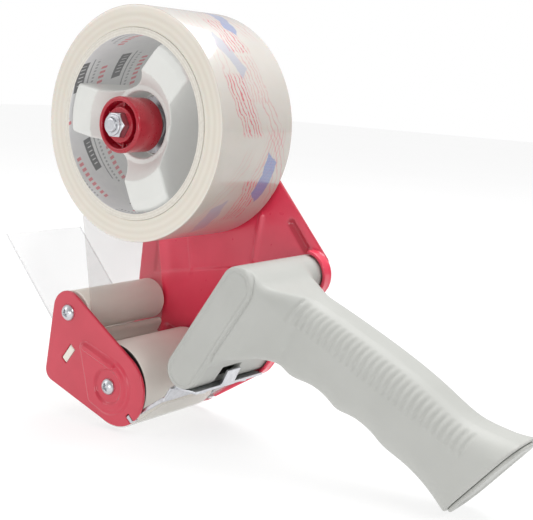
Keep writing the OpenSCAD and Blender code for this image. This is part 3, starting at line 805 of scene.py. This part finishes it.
def pad_height(x, z):
    """Pressed panel round the applicator screw: raised, ringed and dished."""
    d = pad_d(x, z)
    r = circle_d(x, z, APP, 0)
    h = PAD * step01((0.7 - d) / 1.8)
    h = h - 0.55 * np.exp(-((r - 11.4) / 1.3) ** 2) * step01((x - APP[0] + 4) / 8)
    return h - 1.0 * step01((8.6 - r) / 1.6)


def tab_d(x, z, play):
    """Outline of the guide bar's tab, grown by play."""
    u, v = turned(x, z, TAB, TAB_TURN)
    return np.maximum(np.abs(u) - TAB_HALF[0] - play, np.abs(v) - TAB_HALF[1] - play)


def slots_d(x, z):
    """Tab slot of the guide bar and the hook notch of the bracket."""
    hu, hv = turned(x, z, HOOK, HOOK_TURN)
    hook = np.maximum(np.abs(hu - 0.8) - 3.1, np.abs(hv) - 1.1)
    return np.minimum(tab_d(x, z, 0.2), hook)


def holes_d(x, z, holes):
    return np.minimum.reduce([circle_d(x, z, (hx, hz), r) for hx, hz, r in holes])


def ear_field(x, y, z):
    rib = segment_d(x, z, (-18.4, 34.6), (-1, 29.2))
    h = pad_height(x, z) + 1.15 * step01((2.1 - rib) / 1.5)
    cut = np.minimum(slots_d(x, z), holes_d(x, z, [(*GUIDE, SCREW_HOLE), (*APP, SCREW_HOLE)]))
    d2 = smax(ear_outline_d(x, z), -cut, 0.3)
    return slab(d2, np.abs(y + YI + SHEET / 2 + h) - SHEET / 2, 0.45)


def frame_height(x, z):
    """Height of the pressings of the side frame, towards the outside."""
    h = pad_height(x, z)
    # flat border along the front edge, then the field of the panel
    border = step01((x + 30.5 - 0.05 * (z - 60)) / 1.8)
    field = border * step01((z - 62.5 - 0.2 * (x + 20)) / 1.6) * step01((135.5 - z) / 8)
    h = h + 0.9 * field
    # long bead behind the handle head, and the short rib
    bead = segment_d(x, z, (33.5, 97), (31, 76))
    h = h - 0.8 * np.exp(-(bead / 1.5) ** 2)
    rib = segment_d(x, z, (50.6, 95.6), (59, 85.6))
    h = h + 1.0 * np.exp(-(rib / 1.5) ** 2)
    bead = segment_d(x, z, (-9.6, 83), (-6.3, 64.8))
    return h - 0.35 * np.exp(-(bead / 0.9) ** 2)


def side_field(x, y, z):
    h = frame_height(x, z)
    cut = np.minimum(slots_d(x, z), holes_d(x, z, [
        (*GUIDE, SCREW_HOLE), (*APP, SCREW_HOLE), (0, HUB_Z, BOLT_R + 0.05),
        (HEAD_LOW[0], HEAD_LOW[1] + 2, SCREW_HOLE), (*HEAD_TOP[:2], SCREW_HOLE)]))
    outline = frame_outline_d(x, z)
    plate = slab(smax(outline, -cut, 0.3), np.abs(y - YI - SHEET / 2 - h) - SHEET / 2, 0.45)
    # turned-in flange round the head, cut away where the grip comes through
    ring = link_d(x, z, BACK_LOW, BACK_TOP)
    wall = np.abs(ring + SHEET / 2) - SHEET / 2
    keep = np.minimum(
        polygon_d(x, z, [(62.5, 75), (64, 100), (90, 95), (86, 66), (70, 66)]),
        polygon_d(x, z, [(35.5, 34.5), (34.5, 15), (60, 15), (52, 34.5)]))
    flange = slab(smax(wall, keep, 0.3), between(y, YI - 4, YI + 0.8), 0.4)
    return join_round(plate, flange, 0.8)


new_object(
    field_mesh("side_frame_pressing", side_field, (-47, 21.5, 0), (76, 31.5, 155), 0.6),
    SIDE_RED_PAINTED_LIGHT, "frame", "red_enamel", "side_frame",
)
new_object(
    field_mesh("near_ear_pressing", ear_field, (-47, -31.8, 0.5), (20, -25.8, 60), 0.45),
    EAR_RED, "frame", "red_enamel", "near_ear",
)


# ---- hub and knob

LOBES = (171, 51, -69)      # directions of the lobes, degrees
LOBE_HALF = 10.8
LOBE_R = 37.8


def lobes_d(x, z, grow=0.0):
    arms = []
    for a in LOBES:
        along, across = turned(x, z, (0, HUB_Z), a)
        arms.append(np.maximum(np.abs(across) - LOBE_HALF - grow, -along))
    star = join_round(join_round(arms[0], arms[1], 13.0), arms[2], 13.0)
    star = np.minimum(star, circle_d(x, z, (0, HUB_Z), 16.8 + grow))
    return smax(star, circle_d(x, z, (0, HUB_Z), LOBE_R + grow), 1.5)


HUB_FRONT = [(-1, -18), (16.8, -18), (24, -25), (33.5, -24.4), (36.4, -23.6), (LOBE_R + 0.6, -21.6),
             (LOBE_R + 0.6, 30), (-1, 30)]
HUB_HOLLOW = [(16.8, -15.4), (19.5, -18), (24.5, -22.7), (33, -22.2), (35.8, -19.4), (35.8, 40), (16.8, 40)]


def hub_field(x, y, z):
    r = np.hypot(x, z - HUB_Z)
    front = polygon_d(r, y, HUB_FRONT)
    star = lobes_d(x, z)
    body = slab(star, front, 1.0)
    body = np.maximum(body, y - 24.3)
    flange = slab(r - 43, between(y, 24.2, 26), 0.6)
    d = np.minimum(body, flange)
    hollow = np.maximum(polygon_d(r, y, HUB_HOLLOW), lobes_d(x, z, -2.2))
    d = smax(d, -hollow, 0.4)
    tube = meet(r - 14.4, 8 - r, between(y, -3.5, 34))
    tube = np.maximum(tube, -np.maximum(r - 8, between(y, -6, 22)))
    d = smax(d, -tube, 0.4)
    # recess of the knob with a small rim
    d = smax(d, -np.maximum(r - 14.5, between(y, -30, -6)), 0.5)
    return np.maximum(d, -(np.maximum(r - 5.5, between(y, -9, 40))))


new_object(
    field_mesh("hub_moulding", hub_field, (-45, -26.5, HUB_Z - 45), (45, 27.5, HUB_Z + 45), 0.7),
    WHITE, "hub", "white_moulding", "hub",
)


def hex_d(x, z, flats, turn=0.0):
    out = None
    for k in range(3):
        a = turn + math.pi / 2 + k * math.pi / 3
        d = np.abs(x * math.cos(a) + z * math.sin(a)) - flats / 2
        out = d if out is None else np.maximum(out, d)
    return out


def knob_field(x, y, z):
    px, pz = x, z - HUB_Z
    r = np.hypot(px, pz)
    taper = 12.0 - 0.35 * step01((y + 31) / 12)
    cup = slab(r - taper, between(y, -31.5, -16), 1.0)
    # front cup, with a six-sided socket for the nut
    cup = smax(cup, -slab(r - 9.9, between(y, -40, -26.8), 0.8), 0.8)
    boss = slab(r - 7.6, between(y, -31, -26), 0.5)
    d = smin(cup, boss, 0.6)
    # thin webs between boss and cup
    for k in range(6):
        along, across = turned(px, pz, (0, 0), 30 + 60 * k)
        web = np.maximum(np.abs(across) - 0.5, between(along, 6, 10.5))
        d = smin(d, np.maximum(web, between(y, -28.6, -26)), 0.5)
    d = smax(d, -np.maximum(hex_d(px, pz, 10.1), between(y, -40, -29.5)), 0.3)
    # back cup over the spring, and the bore
    d = smax(d, -slab(r - 10, between(y, -26, -8), 0.5), 0.5)
    return np.maximum(d, -(np.maximum(r - 3.3, between(y, -40, -8))))


new_object(
    field_mesh("tension_knob_moulding", knob_field, (-13, -32.5, HUB_Z - 13), (13, -15, HUB_Z + 13), 0.32),
    KNOB, "knob", "knob_moulding", "tension_knob",
)


def nut_field(x, y, z):
    px, pz = x, z - HUB_Z
    r = np.hypot(px, pz)
    crown = polygon_d(r, y, [(-1, -29.5), (5.9, -29.5), (5.9, -33.7), (4.9, -34.5), (-1, -34.5)])
    nut = smax(hex_d(px, pz, M6_FLATS), crown, 0.25)
    collar = slab(r - 4.4, between(y, -35.6, -34), 0.5)
    return np.maximum(np.minimum(nut, collar), BOLT_R + 0.05 - r)


new_object(
    field_mesh("lock_nut_steel", nut_field, (-6.6, -36.2, HUB_Z - 6.6), (6.6, -29, HUB_Z + 6.6), 0.22),
    ZINC, "knob", "zinc_steel", "lock_nut",
)


def bolt_field(x, y, z):
    px, pz = x, z - HUB_Z
    r = np.hypot(px, pz)
    turn = np.arctan2(pz, px) / (2 * math.pi)
    # rolled thread over the outer end
    thread = 0.28 * np.abs(((y - turn) % 1.0) - 0.5) * 2 * step01((-9 - y) / 1.5)
    shank = smax(r - BOLT_R + thread, between(y, -36.5, YO + 1.2), 0.6)
    crown = polygon_d(r, y, [(-1, YO + 1), (5.95, YO + 1), (5.95, YO + 4.2), (5.0, YO + 5), (-1, YO + 5)])
    head = smax(hex_d(px, pz, M6_FLATS), crown, 0.3)
    return np.minimum(shank, head)


new_object(
    field_mesh("hub_bolt_steel", bolt_field, (-6.6, -37.2, HUB_Z - 6.6), (6.6, YO + 5.8, HUB_Z + 6.6), 0.26),
    ZINC, "frame", "zinc_steel", "hub_bolt",
)


# ---- tape

new_object(
    lathe("tape_roll_wound", 0, HUB_Z, rounded(
        [(CORE_RO, -HALF_W), (CORE_RO + 3, -HALF_W), (ROLL_R - 3, -HALF_W), (ROLL_R, -HALF_W),
         (ROLL_R, HALF_W), (ROLL_R - 3, HALF_W), (CORE_RO, HALF_W)], 0.45), 256),
    ROLL_FILM, "hub", "tape_film", "tape_roll",
)
new_object(
    lathe("tape_core_board", 0, HUB_Z, rounded(
        [(CORE_R, -HALF_W - 0.35), (CORE_RO, -HALF_W - 0.35), (CORE_RO, HALF_W + 0.1),
         (CORE_R, HALF_W + 0.1)], 0.3), 256),
    LINER, "hub", "core_board", "tape_core",
)


def web_path():
    """Middle line of the strip, from the roll to the blade."""
    rg, ra = GUIDE_R + WEB_GAP + WEB_T / 2, APP_R + WEB_GAP + WEB_T / 2
    g, a = np.array(GUIDE), np.array(APP)
    off = math.radians(-123)
    p = np.array([(ROLL_R + 0.2) * math.cos(off), HUB_Z + (ROLL_R + 0.2) * math.sin(off)])
    t0 = math.atan2(*(p - g)[::-1]) - math.acos(rg / np.linalg.norm(p - g))
    ph = math.atan2(*(a - g)[::-1])
    kk = math.acos((rg + ra) / np.linalg.norm(a - g))
    t1, s0 = ph + kk, ph + math.pi + kk
    b = np.array([25.6, 17.15])
    s1 = math.atan2(*(b - a)[::-1]) - math.acos(ra / np.linalg.norm(b - a)) + 2 * math.pi
    start = g + rg * np.array([math.cos(t0), math.sin(t0)])
    path = [p + (start - p) * k / 8 for k in range(8)]
    path += [g + rg * np.array([math.cos(t), math.sin(t)]) for t in np.linspace(t0, t1, 6)]
    path += [a + ra * np.array([math.cos(t), math.sin(t)]) for t in np.linspace(s0, s1, 40)]
    last = path[-1]
    path += [last + (b - last) * k / 4 for k in range(1, 5)]
    return np.array(path)


def strip_mesh(name, path, half, thick, across=12, wave=0.0):
    """A thin closed strip along a path in the XZ plane."""
    tangent = np.gradient(path, axis=0)
    tangent /= np.linalg.norm(tangent, axis=1)[:, None]
    normal = np.stack([-tangent[:, 1], tangent[:, 0]], 1)
    ys = np.linspace(-half, half, across + 1)
    n, m = len(path), across + 1
    sheets = []
    for side in (0.5, -0.5):
        rows = []
        for i in range(n):
            bow = wave * np.sin(math.pi * i / (n - 1)) * np.cos(ys / half * 2.2)
            q = path[i][None] + normal[i][None] * (side * thick + bow)[:, None]
            rows.append(np.stack([q[:, 0], ys, q[:, 1]], 1))
        sheets.append(np.array(rows).reshape(-1, 3))
    v = np.concatenate(sheets)
    k = n * m
    faces = []
    for i in range(n - 1):
        for j in range(m - 1):
            a = i * m + j
            faces += [(a, a + m, a + m + 1, a + 1), (k + a, k + a + 1, k + a + m + 1, k + a + m)]
        for a, flip in ((i * m, 0), (i * m + m - 1, 1)):
            quad = (a, a + k, a + m + k, a + m)
            faces.append(quad[::-1] if flip else quad)
    for a, flip in ((0, 1), ((n - 1) * m, 0)):
        for j in range(m - 1):
            quad = (a + j, a + j + k, a + j + 1 + k, a + j + 1)
            faces.append(quad[::-1] if flip else quad)
    mesh = finish_mesh(name, v, faces)
    turn_outward(mesh, 40)
    return mesh


new_object(strip_mesh("tape_web_film", web_path(), HALF_W, WEB_T, 12),
           WEB_FILM, "frame", "tape_film", "tape_web")

# clear flap: flat on its ledge and slightly bowed towards its free end
foot = np.array([-35.31, 30.49]) + 0.3 * math.sqrt(0.5)
lean = math.radians(135)
flap_path = np.array([
    foot + s * np.array([math.cos(lean), math.sin(lean)])
    + 1.6 * (s / 65) ** 2 * np.array([-math.sin(lean), math.cos(lean)]) * -1
    for s in np.linspace(0, 64.5, 24)])
new_object(strip_mesh("tape_flap_film", flap_path, HALF_W, 0.55, 16, 0.35),
           FLAP_FILM, "frame", "flap_film", "tape_flap")


# ---- rollers and guide bar

new_object(
    lathe("guide_roller_moulding", *GUIDE, rounded(
        [(3.05, -26.4), (5.5, -26.4), (5.5, -25.2), (GUIDE_R, -25.2), (GUIDE_R, 25.2), (5.5, 25.2),
         (5.5, 26.4), (3.05, 26.4), (3.05, 20), (6.5, 20), (6.5, -20), (3.05, -20)], 0.6), 128),
    BEIGE, "guide_roller", "beige_roller", "guide_roller",
)
new_object(
    lathe("applicator_sleeve_rubber", *APP, rounded(
        [(APP_R - 3, -APP_L), (APP_R, -APP_L), (APP_R, APP_L), (APP_R - 3, APP_L)], 0.9), 160),
    SLEEVE, "applicator", "sleeve_rubber", "applicator_sleeve",
)


def roller_core_field(x, y, z):
    px, pz = x - APP[0], z - APP[1]
    r = np.hypot(px, pz)
    rim = meet(r - APP_R + 3.02, APP_R - 5 - r, np.abs(y) - APP_L + 0.6)
    tube = meet(r - 6.6, 4.05 - r, np.abs(y) - 26.2)
    disc = meet(r - APP_R + 4, 4.05 - r, np.abs(y) - 2)
    d = smin(smin(rim, disc, 1.0), tube, 1.0)
    # six stiffening webs
    for k in range(6):
        along, across = turned(px, pz, (0, 0), 30 + 60 * k)
        fin = meet(np.abs(across) - 0.8, between(along, 5, APP_R - 4), np.abs(y) - 20)
        d = smin(d, fin, 0.8)
        b = math.radians(60 * k)
        hole = np.hypot(px - 10.2 * math.cos(b), pz - 10.2 * math.sin(b)) - 2.2
        d = np.maximum(d, -np.maximum(hole, np.abs(y) - 3))
    return d


new_object(
    field_mesh("applicator_core_moulding", roller_core_field,
               (APP[0] - 17, -27, APP[1] - 17), (APP[0] + 17, 27, APP[1] + 17), 0.6),
    CORE_DARK, "applicator", "roller_core", "applicator_core",
)


def guide_bar_field(x, y, z):
    p, q = (-34.2, 23.4), (-25.6, 37.4)
    bar = segment_d(x, z, p, q) - 2.2
    # hollow that follows the guide roller and the lip below it
    bar = smax(bar, -circle_d(x, z, GUIDE, GUIDE_R + 0.7), 0.6)
    lip = segment_d(x, z, (-32.6, 23.0), (-29.6, 24.4)) - 1.5
    bar = smin(bar, lip, 2.5)
    body = smax(bar, np.abs(y) - YI + 0.02, 0.3)
    ledge = np.maximum(segment_d(x, z, (-33.4, 27.0), (-40.4, 34.0)) - 1.1, np.abs(y) - HALF_W - 0.5)
    tab = slab(tab_d(x, z, 0), np.abs(y) - YO + 0.15, 0.4)
    return np.minimum(smin(body, ledge, 1.2), tab)


new_object(
    field_mesh("guide_bar_moulding", guide_bar_field, (-43, -29.2, 19.5), (-21, 29.2, 41), 0.5),
    BAR, "frame", "guide_bar_moulding", "guide_bar",
)


# ---- blade and bracket

def blade_mesh():
    """Toothed strip: each tooth is ground to an edge at the front."""
    lean = math.radians(31.7)
    pitch, teeth, root, tip, top, t = 2.46, 20, 1.6, 0.0, 9.5, 0.8
    half = teeth * pitch / 2
    base = np.array([25.33, 17.45])
    along = np.array([math.sin(lean), math.cos(lean)])
    out = np.array([math.cos(lean), -math.sin(lean)])

    def point(d, y, up):
        p = base + out * d + along * up
        return (p[0], y, p[1])

    v, faces = [], []
    for i in range(2 * teeth + 1):
        y = -half + i * pitch / 2
        low = root if i % 2 == 0 else tip
        v += [point(-t, y, top), point(0, y, top), point(0, y, root + 1.2), point(-t * 0.5, y, low),
              point(-t, y, root + 1.2)]
    for i in range(2 * teeth):
        a, b = i * 5, (i + 1) * 5
        for j in range(5):
            k = (j + 1) % 5
            faces.append((a + j, b + j, b + k, a + k))
    faces += [(0, 1, 2, 3, 4), tuple(reversed([2 * teeth * 5 + j for j in range(5)]))]
    mesh = finish_mesh("blade_toothed", v, faces)
    turn_outward(mesh, 20)
    return mesh


new_object(blade_mesh(), BLADE, "frame", "blade_steel", "blade")


def bar_d(x, z, p, q, t):
    """Straight bar with square ends."""
    ex, ez = q[0] - p[0], q[1] - p[1]
    h = math.hypot(ex, ez)
    u = ((x - p[0]) * ex + (z - p[1]) * ez) / h
    v = np.abs((x - p[0]) * ez - (z - p[1]) * ex) / h
    return np.maximum(between(u, 0, h), v - t / 2)


def bracket_field(x, y, z):
    strap = np.maximum(bar_d(x, z, (30.6, 26.0), (43.2, 26.0), STRAP_T), between(y, -YI + 3, YI - 4.4))
    leg = np.maximum(bar_d(x, z, (27.25, 19.39), (31.45, 26.19), STRAP_T), np.abs(y) - YI + 0.4)
    d = smin(strap, leg, 0.8)
    hooks = np.maximum(bar_d(x, z, (8.6, 8.7), (11.2, 6.4), 1.8), between(np.abs(y), YI - 2.2, YO - 0.1))
    arms = np.maximum(bar_d(x, z, (10.2, 8.4), (27.4, 20.4), 1.6), between(np.abs(y), YI - 2.2, YI - 0.6))
    d = smin(d, np.minimum(hooks, arms), 0.6)
    tongue = np.maximum(bar_d(x, z, (42.4, 25.6), (46.2, 33.6), STRAP_T), between(y, -7, 2))
    return smin(d, tongue, 0.8)


new_object(
    field_mesh("blade_bracket_steel", bracket_field, (7, -29.2, 4.5), (48, 29.2, 35), 0.42),
    ZINC, "frame", "zinc_steel", "blade_bracket",
)


# ---- screws, cap and spring

CROSS_TURN = 22     # turn of the cross recess, degrees


def pan_screw(x0, z0, y0, side, length):
    """Pan head with a cross recess; side says which way the head points along Y."""

    def field(x, y, z):
        r = np.hypot(x - x0, z - z0)
        d = (y - y0) * side
        dome = np.sqrt(r * r + (d + 2.2) ** 2) - 4.7
        head = smax(smax(dome, r - 3.8, 0.5), -d, 0.1)
        a, b = np.abs(turned(x, z, (x0, z0), CROSS_TURN))
        narrow = 0.62 - 0.16 * (2.5 - d)
        cross = np.minimum(np.maximum(a - 2.1 + 0.5 * (2.5 - d), b - narrow),
                           np.maximum(b - 2.1 + 0.5 * (2.5 - d), a - narrow))
        cross = np.minimum(cross, np.maximum(a + b - 1.9 + 0.3 * (2.5 - d), 0.9 - d))
        head = smax(head, -np.maximum(cross, 0.9 - d), 0.2)
        shank = np.maximum(r - M4_R, between(d, -length, 0.3))
        return np.minimum(head, shank)

    y = sorted((y0 + side * 3.0, y0 - side * (length + 0.5)))
    return field_mesh("screw", field, (x0 - 4.3, y[0], z0 - 4.3), (x0 + 4.3, y[1], z0 + 4.3), 0.24)


def screws(name, node, specs):
    mesh = join_meshes(name, [pan_screw(*spec) for spec in specs])
    new_object(mesh, ZINC, "frame", "zinc_steel", node)


screws("guide_screws_steel", "guide_screws", [(*GUIDE, -YO, -1, 9.5), (*GUIDE, YO, 1, 9.5)])
screws("applicator_screws_steel", "applicator_screws", [(*APP, -YO, -1, 9.5), (*APP, YO, 1, 9.5)])
screws("handle_screws_steel", "handle_screws",
       [(HEAD_LOW[0], HEAD_LOW[1] + 2, YO, 1, 10.5), (*HEAD_TOP[:2], YO, 1, 10.5)])


def cap_field(x, y, z):
    u, v = butt_axes(x, z)

    def plate(u0, u1, w, r):
        a, c = np.abs(u - (u0 + u1) / 2) - (u1 - u0) / 2 + r, np.abs(y) - w / 2 + r
        return np.minimum(np.maximum(a, c), 0) + np.hypot(np.maximum(a, 0), np.maximum(c, 0)) - r

    lid = slab(plate(1.6, 42.2, 2 * GRIP_HALF - 3, 9.5), between(v, 0.1, 1.5), 0.6)
    # shallow sunk panel in the lid
    lid = smax(lid, -slab(plate(6, 37.8, 2 * GRIP_HALF - 11, 6), between(v, 1.1, 6), 0.3), 0.3)
    plug = slab(plate(7, 36.5, 2 * GRIP_HALF - 6.2, 6.5), between(v, -2.6, 0.6), 0.4)
    return np.minimum(lid, plug)


new_object(
    field_mesh("grip_cap_moulding", cap_field, (150, -14, -0.6), (185, 14, 37), 0.5),
    GREY, "frame", "cap_moulding", "grip_cap",
)


def spring_object():
    """Open coil with closed ends between the two washers."""
    curve = bpy.data.curves.new("tension_spring_wire", "CURVE")
    curve.dimensions = "3D"
    curve.bevel_depth = 0.00068
    curve.bevel_resolution = 5
    curve.use_fill_caps = True
    y0, y1, turns, r = -9.05 - 0.7, -25 + 0.7, 6.5, 6.5
    pts = []
    for i in range(int(turns * 28) + 1):
        t = i / (turns * 28)
        pitch = step01(np.array((t - 0.12) / 0.76)) * 0.5 + np.clip((t - 0.12) / 0.76, 0, 1) * 0.5
        a = 2 * math.pi * turns * t
        pts.append((r * math.cos(a), y0 + (y1 - y0) * float(pitch), HUB_Z + r * math.sin(a)))
    spline = curve.splines.new("POLY")
    spline.points.add(len(pts) - 1)
    for p, q in zip(spline.points, place(pts)):
        p.co = (*q, 1)
    obj = bpy.data.objects.new("tension_spring_wire", curve)
    scene.collection.objects.link(obj)
    curve.materials.append(ZINC)
    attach(obj, "frame")
    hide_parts("tension_spring")


spring_object()


# ---- nodes kept as they are

KEPT = {
    "flap_rivets": ZINC, "guide_axle": ZINC, "applicator_axle": ZINC, "blade_rivets": ZINC,
    "bracket_screws": ZINC, "bolt_washer": ZINC, "jam_nut": ZINC, "hub_bush": NYLON,
    "brake_washer": FIBRE, "pressure_washer": ZINC, "thrust_washer": ZINC,
}
for node, mat in KEPT.items():
    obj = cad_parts[node]
    obj.data.materials.clear()
    obj.data.materials.append(mat)
    bevel = obj.modifiers.new("edges", "BEVEL")
    bevel.width = 0.00018
    bevel.segments = 2
    bevel.limit_method = "ANGLE"
    bevel.angle_limit = math.radians(50)


# ---- floor, light and camera

def floor():
    size = 3.0
    mesh = bpy.data.meshes.new("floor")
    mesh.from_pydata([(-size, -size, -0.0002), (size, -size, -0.0002), (size, size, -0.0002),
                      (-size, size, -0.0002)], [], [(0, 1, 2, 3)])
    look = Look("floor_pale", (0.30, 0.30, 0.30), 0.9, specular_ior_level=0.1)
    look.vary((0.29, 0.29, 0.29), 6)
    look.set("Emission Color", (1, 1, 1, 1))
    look.set("Emission Strength", 0.74)
    mesh.materials.append(look.mat)
    obj = bpy.data.objects.new("floor", mesh)
    scene.collection.objects.link(obj)


def softbox(name, at, aim, size, power):
    light = bpy.data.lights.new(name, "AREA")
    light.shape = "RECTANGLE"
    light.size, light.size_y = size
    light.energy = power
    obj = bpy.data.objects.new(name, light)
    scene.collection.objects.link(obj)
    obj.location = at
    obj.rotation_euler = (Vector(aim) - Vector(at)).to_track_quat("-Z", "Y").to_euler()


floor()


def studio():
    """White sweep behind the object, lit mostly from the front left."""
    world = bpy.data.worlds.new("studio")
    world.use_nodes = True
    tree = world.node_tree
    room = tree.nodes["Background"]
    room.inputs["Color"].default_value = (1, 1, 1, 1)
    where = tree.nodes.new("ShaderNodeTexCoord")
    split = tree.nodes.new("ShaderNodeSeparateXYZ")
    tree.links.new(where.outputs["Generated"], split.inputs[0])
    x, z = Expr(tree, split.outputs[0]), Expr(tree, split.outputs[2])
    strength = ((x * -0.30) + (z * 0.35) + 0.40).max(0.15)
    tree.links.new(strength.socket, room.inputs["Strength"])
    sweep = tree.nodes.new("ShaderNodeBackground")
    sweep.inputs["Color"].default_value = (1, 1, 1, 1)
    mix = tree.nodes.new("ShaderNodeMixShader")
    ray = tree.nodes.new("ShaderNodeLightPath")
    tree.links.new(ray.outputs["Is Camera Ray"], mix.inputs[0])
    tree.links.new(room.outputs[0], mix.inputs[1])
    tree.links.new(sweep.outputs[0], mix.inputs[2])
    tree.links.new(mix.outputs[0], tree.nodes["World Output"].inputs["Surface"])
    scene.world = world


studio()
target = (0.0, 0.0, 0.08)
softbox("top_box", (0.05, 0.35, 0.95), target, (0.7, 0.7), 8.0)
softbox("front_box", (-0.75, -0.75, 0.55), target, (0.5, 0.6), 1.6)
softbox("low_box", (0.25, -1.00, 0.10), (0.0, 0.0, 0.05), (0.5, 0.2), 1.6)
softbox("roll_box", (0.85, -0.10, 0.62), (0.0, 0.0, 0.16), (0.34, 0.22), 2.4)

camera = bpy.data.cameras.new("camera")
camera.lens = 72.07
camera.sensor_width = 36
camera.clip_start, camera.clip_end = 0.02, 20
eye = bpy.data.objects.new("camera", camera)
scene.collection.objects.link(eye)
right = Vector((0.7977, 0.6001, 0.0586)).normalized()
ahead = Vector((-0.5847, 0.7937, -0.1683)).normalized()
right = (right - ahead * right.dot(ahead)).normalized()
up = right.cross(ahead)
turn = Matrix((right, up, -ahead)).transposed().to_4x4()
eye.matrix_world = Matrix.Translation(Vector(place((321.55, -357.11, 158.81)))) @ turn
scene.camera = eye
scene.view_settings.view_transform = "Standard"
